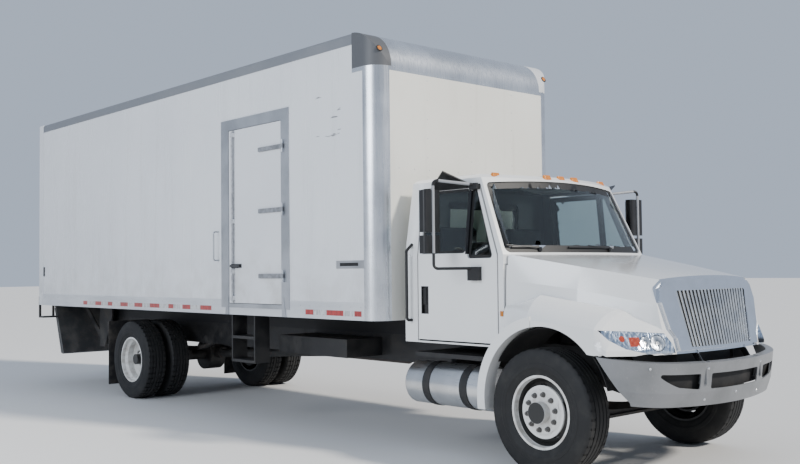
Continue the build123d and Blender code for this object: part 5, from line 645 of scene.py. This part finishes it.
def addSpin(shape, profile, centre, steps):
    # A ring turned about a line across the truck: profile is (distance from the line, y)
    verts = [shape.verts.new((centre[0], y, centre[2] + radius)) for radius, y in profile]
    edges = [shape.edges.new((a, b)) for a, b in zip(verts, verts[1:] + verts[:1])]
    bmesh.ops.spin(
        shape, geom=verts + edges, cent=centre, axis=(0, 1, 0), dvec=(0, 0, 0), angle=2 * pi,
        steps=steps, use_merge=True, use_duplicate=False,
    )


def addRivets(shape, places, normal, radius=0.006, height=0.0035):
    # Small domed heads standing on a face
    normal = Vector(normal)
    for place in places:
        place = Vector(place)
        addRod(shape, place - normal * 0.001, place + normal * height, radius, 8, radius * 0.55)


def spaced(low, high, pitch):
    # Places from one end to the other at about a given pitch
    count = max(1, round((high - low) / pitch))
    return [low + (high - low) * index / count for index in range(count + 1)]


def onSurface(node, start, direction):
    # Where a ray meets a node's face, and the way that the face looks
    hit, place, normal, _ = nodes[node].ray_cast(Vector(start), Vector(direction).normalized())
    if not hit:
        raise ValueError("no face of " + node + " on that line")
    return place, normal


boxLow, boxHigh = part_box("body_rails")
wallLow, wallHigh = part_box("box_right_wall")
frontLow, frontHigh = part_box("box_front_wall")
postFrontX = frontHigh[0]
bodyHalf = boxHigh[1]
frameLow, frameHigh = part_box("side_door_frame")

# Tyres
tyreSettings = {
    "grooves": (-0.066, -0.022, 0.022, 0.066), "grooveWidth": 0.011, "grooveDepth": 0.014,
    "steps": 176, "shoulderNotch": 0.004, "lugNotch": 0.010,
    # Each is a radius, and a share of the width away from the middle
    "sidewall": (
        (0.288, 0.395), (0.302, 0.43), (0.318, 0.452), (0.335, 0.468), (0.352, 0.486),
        (0.356, 0.497), (0.39, 0.5), (0.394, 0.491), (0.425, 0.494), (0.452, 0.484),
        (0.474, 0.463), (0.488, 0.447), (0.498, 0.418), (0.5055, 0.392),
    ),
}


def tyreProfile(middleY, halfWidth, outerRadius, settings):
    # Half of the sidewall, then the tread with its grooves, then the other sidewall and the bore
    width = 2 * halfWidth
    wall = settings["sidewall"]
    points = [(radius, middleY - share * width) for radius, share in wall]
    for groove in settings["grooves"]:
        half = settings["grooveWidth"] / 2
        crown = outerRadius - 0.0032 * (groove / 0.1) ** 2
        points.append((crown, middleY + groove - half))
        points.append((crown - settings["grooveDepth"], middleY + groove - half * 0.6))
        points.append((crown - settings["grooveDepth"], middleY + groove + half * 0.6))
        points.append((crown, middleY + groove + half))
    points += [(radius, middleY + share * width) for radius, share in reversed(wall)]
    return points


def makeTyres(name, node, body, middles, halfWidth, drive):
    low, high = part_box(node)
    centre = ((low[0] + high[0]) / 2, 0, (low[2] + high[2]) / 2)
    outerRadius = (high[2] - low[2]) / 2 - 0.0005
    shape = bmesh.new()
    for middle in middles:
        profile = tyreProfile(middle, halfWidth, outerRadius, tyreSettings)
        addSpin(shape, profile, centre, tyreSettings["steps"])
    bmesh.ops.remove_doubles(shape, verts=shape.verts, dist=0.00002)
    bmesh.ops.recalc_face_normals(shape, faces=shape.faces)
    shape.faces.ensure_lookup_table()
    step = 2 * pi / tyreSettings["steps"]
    notched = []
    for face in shape.faces:
        middle = face.calc_center_median()
        offX, offZ = middle.x - centre[0], middle.z - centre[2]
        radius = sqrt(offX * offX + offZ * offZ)
        nearest = min(abs(middle.y - m) for m in middles)
        around = Vector((offX, offZ)).angle_signed(Vector((1, 0)))
        turn = int(((around + 2 * pi) % (2 * pi)) / step + 0.5)
        shoulder = nearest > 0.074 and radius > 0.5
        lug = drive and radius > outerRadius - 0.006 and nearest > 0.03 and turn % 4 == 0
        if (shoulder and turn % 4 == 0) or lug:
            notched.append(face)
    depth = tyreSettings["lugNotch" if drive else "shoulderNotch"]
    made = bmesh.ops.extrude_discrete_faces(shape, faces=notched)
    for face in made["faces"]:
        middle = face.calc_center_median()
        inward = Vector((centre[0] - middle.x, 0, centre[2] - middle.z)).normalized()
        bmesh.ops.translate(shape, verts=list(face.verts), vec=inward * depth)
    piece = givePiece(shape, name, tyreRubber, body, 32, False)
    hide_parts(node)


for label, side in sides:
    lower = label.lower()
    body = "front_wheel_" + lower[0]
    low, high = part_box("front_tyre_" + lower)
    middle = (low[1] + high[1]) / 2
    halfWidth = (high[1] - low[1]) / 2
    makeTyres("frontTyre" + label, "front_tyre_" + lower, body, (middle,), halfWidth, False)
    low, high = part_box("rear_tyres_" + lower)
    inner, outer = (low[1], high[1]) if side > 0 else (high[1], low[1])
    middles = (inner + side * halfWidth, outer - side * halfWidth)
    body = "rear_wheel_" + lower[0]
    makeTyres("rearTyres" + label, "rear_tyres_" + lower, body, middles, halfWidth, True)
print("tyres made")

# Wheel nuts and studs
nutSettings = {
    "count": 10, "pitchRadius": 0.143, "width": 0.0185, "height": 0.024, "firstTurn": 0.16,
    "studRadius": 0.0105, "studHeight": 0.034,
}
nutSteel = plainPaint("nutSteel", (0.10, 0.095, 0.09), (0.12, 0.06, 0.03), 0.5, 0.3)


def makeNuts(name, node, body, side, centreX, settings):
    shape = bmesh.new()
    turnStep = 2 * pi / settings["count"]
    for index in range(settings["count"]):
        turn = index * turnStep + settings["firstTurn"]
        x = centreX + settings["pitchRadius"] * cos(turn)
        z = axleZ + settings["pitchRadius"] * sin(turn)
        face, _ = onSurface(node, (x, side * 1.6, z), (0, -side, 0))
        out = Vector((0, side, 0))
        addRod(shape, face - out * 0.001, face + out * 0.005, settings["width"] * 1.22, 18)
        top = face + out * settings["height"]
        addRod(shape, face + out * 0.004, top, settings["width"] * 1.1, 6, settings["width"])
        addRod(shape, top, face + out * settings["studHeight"], settings["studRadius"], 10)
    givePiece(shape, name, nutSteel, body, 25)


for label, side in sides:
    lower = label.lower()
    body = "front_wheel_" + lower[0]
    makeNuts("frontNuts" + label, "front_wheel_" + lower, body, side, axleX, nutSettings)
    body = "rear_wheel_" + lower[0]
    makeNuts("rearNuts" + label, "rear_wheels_" + lower, body, side, rearAxleX, nutSettings)
print("wheel nuts made")

# Rivets on the box
rivetMetal = bareMetal("rivetMetal", (0.6, 0.62, 0.64), 0.4, (1, 1, 1), 20.0, 0.1)
rivetPaint = paint("rivetPaint", (0.70, 0.71, 0.73), (0.3, 0.29, 0.27), 0.4, 0.1, 4.2, 3.0, 0.2)
rivetSettings = {
    "postPitch": 0.075, "bandPitch": 0.10, "seamPitch": 0.13, "railPitch": 0.16,
    "seams": (-9.26, -8.0, -6.81, -5.6, -2.405), "frontSeams": (-0.62, 0.0, 0.62),
    "frontPitch": 0.19, "ribs": (0.09, 0.74, 1.45), "postDepth": 0.184, "frontRow": 0.172,
}


def makeRivets(settings):
    metal = bmesh.new()
    painted = bmesh.new()
    postRear = postFrontX - settings["postDepth"]
    for side in (-1, 1):
        # Two rows on each post's side flange and front flange
        for z in spaced(boxLow[2] + 0.05, frontHigh[2] - 0.03, settings["postPitch"]):
            place, _ = onSurface("front_trim", (postRear + 0.012, side * 1.6, z), (0, -side, 0))
            addRivets(metal, [place], (0, side, 0), 0.005)
            start = (postFrontX + 0.4, side * (bodyHalf - settings["frontRow"]), z)
            place, _ = onSurface("front_trim", start, (-1, 0, 0))
            addRivets(metal, [place], (1, 0, 0), 0.005)
        wallY = side * abs(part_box("box_left_wall")[1][1])
        for seam in settings["seams"]:
            for z in spaced(wallLow[2] + 0.05, wallHigh[2] - 0.04, settings["seamPitch"]):
                addRivets(painted, [at(seam, wallY, z)], (0, side, 0), 0.005, 0.0022)
        for x in spaced(boxLow[0] + 0.05, postRear - 0.04, settings["bandPitch"]):
            for z in (wallLow[2] + 0.022, wallHigh[2] - 0.022):
                if side < 0 and frameLow[0] - 0.02 < x < frameHigh[0] + 0.02 and z < frameHigh[2]:
                    continue
                addRivets(painted, [(x, wallY, z)], (0, side, 0), 0.005, 0.0022)
        for x in spaced(boxLow[0] + 0.08, postRear - 0.05, settings["railPitch"]):
            if side < 0 and frameLow[0] - 0.03 < x < frameHigh[0] + 0.03:
                continue
            addRivets(metal, [(x, side * bodyHalf, boxLow[2] + 0.125)], (0, side, 0), 0.0055)
    # Rows across the front wall, seams up it, and the rows of its inner ribs
    bottom, top = frontLow[2], frontHigh[2]
    fronts = []
    for y in spaced(-bodyHalf + 0.2, bodyHalf - 0.2, settings["bandPitch"]):
        fronts += [(y, top + 0.015), (y + 0.05, top + 0.04)]
    heights = spaced(bottom + 0.06, top - 0.05, settings["frontPitch"])
    fronts += [(y, z) for y in settings["frontSeams"] for z in heights]
    fronts += [(y, bottom + rise) for y in spaced(-1.0, 1.0, 0.2) for rise in settings["ribs"]]
    addRivets(metal, [(postFrontX, y, z) for y, z in fronts], (1, 0, 0), 0.006)
    givePiece(metal, "boxRivets", rivetMetal, "truck", 50)
    givePiece(painted, "wallRivets", rivetPaint, "truck", 50)


makeRivets(rivetSettings)
print("rivets made")

# Reflective tape on the bottom rails
tapeRed = lens("tapeRed", (0.42, 0.02, 0.02), 0.35)
tapeWhite = lens("tapeWhite", (0.62, 0.62, 0.62), 0.35)
tapeSettings = {
    "low": 1.218, "high": 1.270, "proud": 0.0012,
    "reds": (
        (-8.236, -8.102), (-7.842, -7.651), (-7.449, -7.312), (-7.073, -6.855), (-6.67, -6.448),
        (-6.246, -5.996), (-5.766, -5.641), (-5.421, -5.231), (-4.999, -4.752), (-4.077, -3.859),
        (-3.647, -3.368), (-2.927, -2.793), (-2.579, -2.31), (-2.142, -2.037),
    ),
}


def makeTape(settings):
    # Red strips at their places with white ones between, left out across the side door's frame
    reds = settings["reds"]
    whites = [(first[1], second[0]) for first, second in zip(reds, reds[1:])]
    strips = {"red": reds, "white": whites}
    for label, skin, slot in (("red", tapeRed, "lamp_amber"), ("white", tapeWhite, "box_white")):
        shape = bmesh.new()
        for side in (-1, 1):
            low, high = sorted((side * bodyHalf, side * (bodyHalf + settings["proud"])))
            for start, end in strips[label]:
                start, end = axleX + start, axleX + end
                if side < 0 and end > frameLow[0] - 0.07 and start < frameHigh[0] + 0.07:
                    continue
                addBlock(shape, (start, low, settings["low"]), (end, high, settings["high"]))
        givePiece(shape, "tape" + label.title() + "Pieces", skin, "truck")


makeTape(tapeSettings)
print("tape made")

# Wipers on the windshield
wiperSettings = {
    "pivots": (-0.62, 0.32), "pivotZ": 1.83, "tipZ": 1.85, "bladeZ": 1.838, "armReach": 0.34,
    "arm": 0.006, "bladeStart": 0.10, "blade": 0.5, "parts": 8, "furthest": -0.93,
    "bladeRadius": 0.0075, "lift": 0.014,
}


def onWindshield(y, z, lift):
    place, normal = onSurface("cab_glass", at(1.0, y, z), (-1, 0, 0))
    return place + normal * lift


def makeWipers(settings):
    shape = bmesh.new()
    for pivot in settings["pivots"]:
        base = onWindshield(pivot, settings["pivotZ"], 0.02)
        addRod(shape, base - Vector((0, 0, 0.03)), base + Vector((0, 0, 0.005)), 0.016, 12)
        tip = onWindshield(pivot - settings["armReach"], settings["tipZ"], settings["lift"] + 0.012)
        addTube(shape, (base, tip), settings["arm"], 8)
        step = settings["blade"] / settings["parts"]
        begin = pivot - settings["bladeStart"]
        offsets = [begin - step * index for index in range(settings["parts"] + 1)]
        offsets = [y for y in offsets if y >= settings["furthest"]]
        places = [onWindshield(y, settings["bladeZ"], settings["lift"]) for y in offsets]
        for first, second in zip(places, places[1:]):
            addRod(shape, first, second, settings["bladeRadius"], 8)
    givePiece(shape, "wipers", mirrorPlastic, "truck", 40)


makeWipers(wiperSettings)
print("wipers made")

# Windows with black printed borders
glassSettings = {"windshieldBorder": 0.07, "doorBorder": 0.026}
borderBlack = rubber("borderBlack", (0.003, 0.003, 0.0035), (0.008, 0.008, 0.009), 0.5)


def makeGlass(name, node, body, outward, border):
    # A copy of the pane with a printed border on its outer face
    shape = bmesh.new()
    shape.from_mesh(nodes[node].data)
    bmesh.ops.remove_doubles(shape, verts=shape.verts, dist=0.00005)
    outer = [face for face in shape.faces if outward(face)]
    ring = bmesh.ops.inset_region(
        shape, faces=outer, thickness=border, use_boundary=True, use_even_offset=True
    )
    for face in ring["faces"]:
        face.material_index = 1
    piece = givePiece(shape, name, (clearGlass, borderBlack), body, 30, False)
    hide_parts(node)


def outerFace(face):
    # The windshield's front and the rear window's back
    forward = face.normal.x
    return forward > 0.35 or (forward < -0.35 and face.calc_center_median().x < axleX - 1.5)


makeGlass("cabGlass", "cab_glass", "truck", outerFace, glassSettings["windshieldBorder"])
for label, side in sides:
    lower = label.lower()
    makeGlass(
        "doorGlass" + label, "door_glass_" + lower, "cab_door_" + lower[0],
        lambda face: face.normal.y * side > 0.5, glassSettings["doorBorder"],
    )
print("glass made")

# Wheel well liners under the fenders
wellSettings = {
    "x": 0.03, "z": 0.58, "radius": 0.604, "wall": 0.006, "innerY": 0.62, "outerY": 1.09,
    "from": 14, "to": 150, "steps": 28,
}
wellBlack = rubber("wellBlack", (0.010, 0.010, 0.011), (0.05, 0.045, 0.04), 0.8)


def makeWells(settings):
    shape = bmesh.new()
    centre = at(settings["x"], 0, settings["z"])
    start = radians(settings["from"])
    outer, inner = settings["radius"], settings["radius"] - settings["wall"]
    near, far = settings["innerY"], settings["outerY"]
    for side in (-1, 1):
        corners = [
            shape.verts.new(centre + Vector((reach * cos(start), side * y, reach * sin(start))))
            for reach, y in ((outer, near), (outer, far), (inner, far), (inner, near))
        ]
        bmesh.ops.spin(
            shape, geom=[shape.faces.new(corners)], cent=centre, axis=(0, -1, 0), dvec=(0, 0, 0),
            angle=radians(settings["to"]) - start, steps=settings["steps"], use_duplicate=False,
        )
    givePiece(shape, "wheelWells", wellBlack, "hood", 40)


makeWells(wellSettings)
print("wheel wells made")

# Dark backing and bolts of the bumper
bumperSettings = {
    "tilt": 7.4, "endX": 0.565, "top": 0.985, "behind": 0.052, "wall": 0.006, "reach": 0.5294,
    "bow": 0.099, "bowHalf": 0.72, "span": 0.92, "high": 0.075, "low": 0.22, "columns": 28,
    "bolt": 0.013, "boltHeight": 0.005, "bolts": (
        (0.40, 0.045), (0.40, 0.29), (-0.40, 0.045), (-0.40, 0.29), (0.0, 0.255), (0.93, 0.045),
        (-0.93, 0.045),
    ),
}
boltBright = bareMetal("boltBright", (0.72, 0.73, 0.74), 0.25, (1, 1, 1), 30.0, 0.1)


def bumperPoint(settings, y, drop, behind):
    # A place on the bumper's front, given across it and down from its sloping top
    tilt = radians(settings["tilt"])
    along = settings["reach"] - settings["bow"] * (y / settings["bowHalf"]) ** 2 - behind
    x = settings["endX"] + along * cos(tilt) - drop * sin(tilt)
    return at(x, y, settings["top"] - along * sin(tilt) - drop * cos(tilt))


def makeBumperParts(settings):
    backing = bmesh.new()
    columns = []
    half, behind = settings["span"], settings["behind"]
    for y in spaced(-half, half, 2 * half / settings["columns"]):
        places = [bumperPoint(settings, y, settings[edge], behind) for edge in ("high", "low")]
        columns.append([backing.verts.new(place) for place in places])
    for first, second in zip(columns, columns[1:]):
        backing.faces.new((*first, *reversed(second)))
    bmesh.ops.solidify(backing, geom=list(backing.faces), thickness=settings["wall"])
    givePiece(backing, "bumperBacking", wellBlack, "truck", 30)
    bolts = bmesh.new()
    tilt = radians(settings["tilt"])
    for y, drop in settings["bolts"]:
        start = bumperPoint(settings, y, drop, 0) + Vector((0.2, 0, -0.026))
        place, normal = onSurface("front_bumper", start, (-cos(tilt), 0, sin(tilt)))
        out = place + normal * settings["boltHeight"]
        addRod(bolts, place - normal * 0.002, out, settings["bolt"], 16, settings["bolt"] * 0.7)
    givePiece(bolts, "bumperBolts", boltBright, "truck", 40)


makeBumperParts(bumperSettings)
print("bumper parts made")

# Mirrors: pale tube sleeves and the mirror glass
mirrorSettings = {
    "posts": {"Left": -0.715, "Right": -1.04}, "postY": 1.3, "radius": 0.0142, "low": 1.80,
    "top": 2.4395, "arm": (-0.85, 0.985, 2.402), "glassHalf": 0.082, "glassSetback": 0.092,
    "panes": ((2.005, 2.332), (1.817, 1.935)),
}
mirrorGlass = bareMetal("mirrorGlass", (0.42, 0.46, 0.52), 0.05, (1, 1, 1), 8.0, 0.04)


def makeMirrorParts(settings):
    for label, side in sides:
        tubes, panes = bmesh.new(), bmesh.new()
        postX, half = settings["posts"][label], settings["glassHalf"]
        armX, armY, armZ = settings["arm"]
        y = side * settings["postY"]
        arm, corner = at(armX, side * armY, armZ), at(postX, y, settings["top"])
        along = (arm - corner).normalized()
        sleeve = (settings["radius"], 14)
        addRod(tubes, at(postX, y, settings["low"]), corner - Vector((0, 0, 0.05)), *sleeve)
        addRod(tubes, corner + along * 0.05, arm - along * 0.04, *sleeve)
        backX = axleX + postX - settings["glassSetback"]
        for low, high in settings["panes"]:
            corners = (backX - 0.0012, y - half, low), (backX + 0.002, y + half, high)
            addBlock(panes, *corners, 0.0008, 1)
        body = "cab_door_" + label[0].lower()
        givePiece(tubes, "mirrorTubes" + label, lightTube, body, 40)
        givePiece(panes, "mirrorGlass" + label, mirrorGlass, body, 40)


makeMirrorParts(mirrorSettings)
print("mirror parts made")

# Padded seats on their bases
seatSettings = {
    "frontX": -1.12, "depth": 0.5, "half": 0.25, "y": 0.48, "top": 1.42, "cushion": 0.13,
    "back": 0.64, "backWall": 0.12, "tuck": 0.02, "overlap": 0.06, "crown": 0.018, "edge": 0.03,
    "cells": 14, "baseHalf": 0.18, "baseLow": 1.03, "baseFront": 0.08, "baseRear": 0.03,
    "baseSink": 0.004,
}


def makePad(name, low, high, axis, settings):
    # A stuffed block: softened edges, with its two broad faces crowned and pleated
    shape = bmesh.new()
    low, high = Vector(low), Vector(high)
    middle, half = (low + high) / 2, (high - low) / 2
    place = Matrix.Translation(middle) @ Matrix.Diagonal((*(high - low), 1))
    bmesh.ops.create_cube(shape, size=1, matrix=place)
    bmesh.ops.bevel(
        shape, geom=list(shape.edges), offset=settings["edge"], affect="EDGES", segments=4,
        profile=0.5, material=-1,
    )
    long = [edge for edge in shape.edges if edge.calc_length() > 0.08]
    bmesh.ops.subdivide_edges(shape, edges=long, cuts=settings["cells"], use_grid_fill=True)
    across = [index for index in range(3) if index != axis]
    for vert in shape.verts:
        offset = vert.co - middle
        first, second = (offset[index] / half[index] for index in across)
        fullness = max(0.0, 1 - first ** 4) * max(0.0, 1 - second ** 4)
        pleat = 0.5 + 0.5 * cos(first * pi * 3)
        sink = settings["crown"] * (fullness * (0.75 + 0.25 * pleat) - 1)
        vert.co[axis] += sink if offset[axis] > 0 else -sink
    piece = givePiece(shape, name, seatCloth, "truck", 60)


def makeSeats(settings):
    base = bmesh.new()
    front, half, top = settings["frontX"], settings["half"], settings["top"]
    rear = front - settings["depth"]
    backFront, low = rear + settings["backWall"], top - settings["cushion"]
    for label, side in sides:
        y = side * settings["y"]
        start, end = at(backFront - settings["tuck"], y - half, low), at(front, y + half, top)
        makePad("seatCushion" + label, start, end, 2, settings)
        start = at(rear, y - half, top - settings["overlap"])
        end = at(backFront, y + half, top + settings["back"])
        makePad("seatBack" + label, start, end, 0, settings)
        narrow = settings["baseHalf"]
        start = at(rear + settings["baseRear"], y - narrow, settings["baseLow"])
        end = at(front - settings["baseFront"], y + narrow, low + settings["baseSink"])
        addBlock(base, start, end, 0.01)
    under = givePiece(base, "seatBases", frameBlack, "truck", 30)
    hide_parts("seats")


makeSeats(seatSettings)
print("seats made")

# Small fittings: scuff strip, rear door hardware, latches on the rear posts, casting lamps
# Blocks are (low corner, high corner, bevel, its segments) from the truck's own origin
wallY, railX = wallLow[1], boxLow[0]
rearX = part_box("rear_door")[0][0]
fittingSettings = {
    "metal": (
        ((axleX - 2.42, wallY - 0.004, 1.676), (axleX - 1.99, wallY + 0.001, 1.753), 0.0015, 1),
        ((rearX - 0.014, -0.11, 1.36), (rearX + 0.004, 0.11, 1.47), 0.004, 2),
        ((rearX - 0.03, -0.02, 1.30), (rearX - 0.01, 0.02, 1.5), 0.004, 2),
    ),
    "dark": (
        ((axleX - 2.36, wallY - 0.0055, 1.70), (axleX - 2.08, wallY - 0.003, 1.732), 0.001, 1),
        ((rearX - 0.012, 0.34, 1.36), (rearX + 0.002, 0.38, 1.72), 0.002, 1),
    ),
    "lampInset": 0.09, "lampZ": 3.76,
    "latchX": (0.02, 0.06), "latchHalf": 0.004, "latchZ": (1.62, 1.76),
}
stripMetal = bareMetal("stripMetal", (0.5, 0.51, 0.53), 0.4, (6, 6, 6), 20.0, 0.25)


def makeFittings(settings):
    metal, dark, lamps = bmesh.new(), bmesh.new(), bmesh.new()
    for shape, label in ((metal, "metal"), (dark, "dark")):
        for block in settings[label]:
            addBlock(shape, *block)
    (rear, front), (low, high) = settings["latchX"], settings["latchZ"]
    for side in (-1, 1):
        near, far = side * bodyHalf - settings["latchHalf"], side * bodyHalf + settings["latchHalf"]
        addBlock(dark, (railX + rear, near, low), (railX + front, far, high), 0.002, 1)
        start = (postFrontX + 0.45, side * (bodyHalf - settings["lampInset"]), settings["lampZ"])
        place, normal = onSurface("front_trim", start, (-1, 0, 0))
        addRod(dark, place - normal * 0.002, place + normal * 0.006, 0.034, 20)
        addRod(lamps, place + normal * 0.004, place + normal * 0.012, 0.026, 20, 0.02)
    givePiece(metal, "boxFittings", stripMetal, "truck", 30)
    givePiece(dark, "darkFittings", wellBlack, "truck", 30)
    givePiece(lamps, "castingLamps", lampAmber, "truck", 30)


makeFittings(fittingSettings)
print("fittings made")

# Stage, light and camera
stageSettings = {
    "floorSize": 120.0, "floorColor": (0.74, 0.73, 0.71), "worldColor": (0.66, 0.77, 0.96),
    "worldStrength": 0.7,
}


def makeStage(settings):
    shape = bmesh.new()
    bmesh.ops.create_grid(shape, x_segments=1, y_segments=1, size=settings["floorSize"])
    mesh = bpy.data.meshes.new("floorMesh")
    shape.to_mesh(mesh)
    shape.free()
    floor = bpy.data.objects.new("floor", mesh)
    bpy.context.scene.collection.objects.link(floor)
    mesh.materials.append(Skin("groundPale", 0.85).color(settings["floorColor"]).material)
    world = bpy.data.worlds.new("studioWorld")
    world.use_nodes = True
    background = world.node_tree.nodes["Background"]
    background.inputs["Color"].default_value = (*settings["worldColor"], 1.0)
    background.inputs["Strength"].default_value = settings["worldStrength"]
    bpy.context.scene.world = world


def addLight(name, kind, place, direction, power, color):
    data = bpy.data.lights.new(name, kind)
    data.energy = power
    data.color = color
    light = bpy.data.objects.new(name, data)
    light.location = place
    light.rotation_mode = "QUATERNION"
    light.rotation_quaternion = Vector(direction).to_track_quat("-Z", "Y")
    bpy.context.scene.collection.objects.link(light)
    return data


makeStage(stageSettings)

lightSettings = {
    "sunWay": (-0.75, -0.28, -0.6), "sunPower": 3.9, "sunColor": (1.0, 0.95, 0.87), "sunAngle": 6,
    "fillPlace": (-2, -16, 7), "fillAim": (-4, 0, 1.8), "fillPower": 1500, "fillSize": 9.0,
    "fillColor": (0.86, 0.92, 1.0),
}


def makeLights(settings):
    sun = addLight(
        "softSun", "SUN", (0, 0, 0), settings["sunWay"], settings["sunPower"], settings["sunColor"]
    )
    sun.angle = radians(settings["sunAngle"])
    place = at(*settings["fillPlace"])
    way = at(*settings["fillAim"]) - place
    fill = addLight("sideFill", "AREA", place, way, settings["fillPower"], settings["fillColor"])
    fill.shape = "DISK"
    fill.size = settings["fillSize"]


makeLights(lightSettings)

cameraSettings = {
    "place": (5.0242, -7.1381, 1.6563), "azimuth": 0.8389, "elevation": -0.0394, "roll": -0.0110,
    "lens": 43.474,
}


def makeCamera(settings):
    azimuth, elevation, roll = settings["azimuth"], settings["elevation"], settings["roll"]
    back = Vector((sin(azimuth) * cos(elevation), -cos(azimuth) * cos(elevation), sin(elevation)))
    right = Vector((cos(azimuth), sin(azimuth), 0))
    up = back.cross(right)
    across = right * cos(roll) + up * sin(roll)
    upright = up * cos(roll) - right * sin(roll)
    data = bpy.data.cameras.new("photoCamera")
    data.lens = settings["lens"]
    data.sensor_width = 36.0
    camera = bpy.data.objects.new("photoCamera", data)
    turn = Matrix((across, upright, back)).transposed().to_4x4()
    camera.matrix_world = Matrix.Translation(at(*settings["place"])) @ turn
    bpy.context.scene.collection.objects.link(camera)
    bpy.context.scene.camera = camera


makeCamera(cameraSettings)
print("stage, light and camera made")
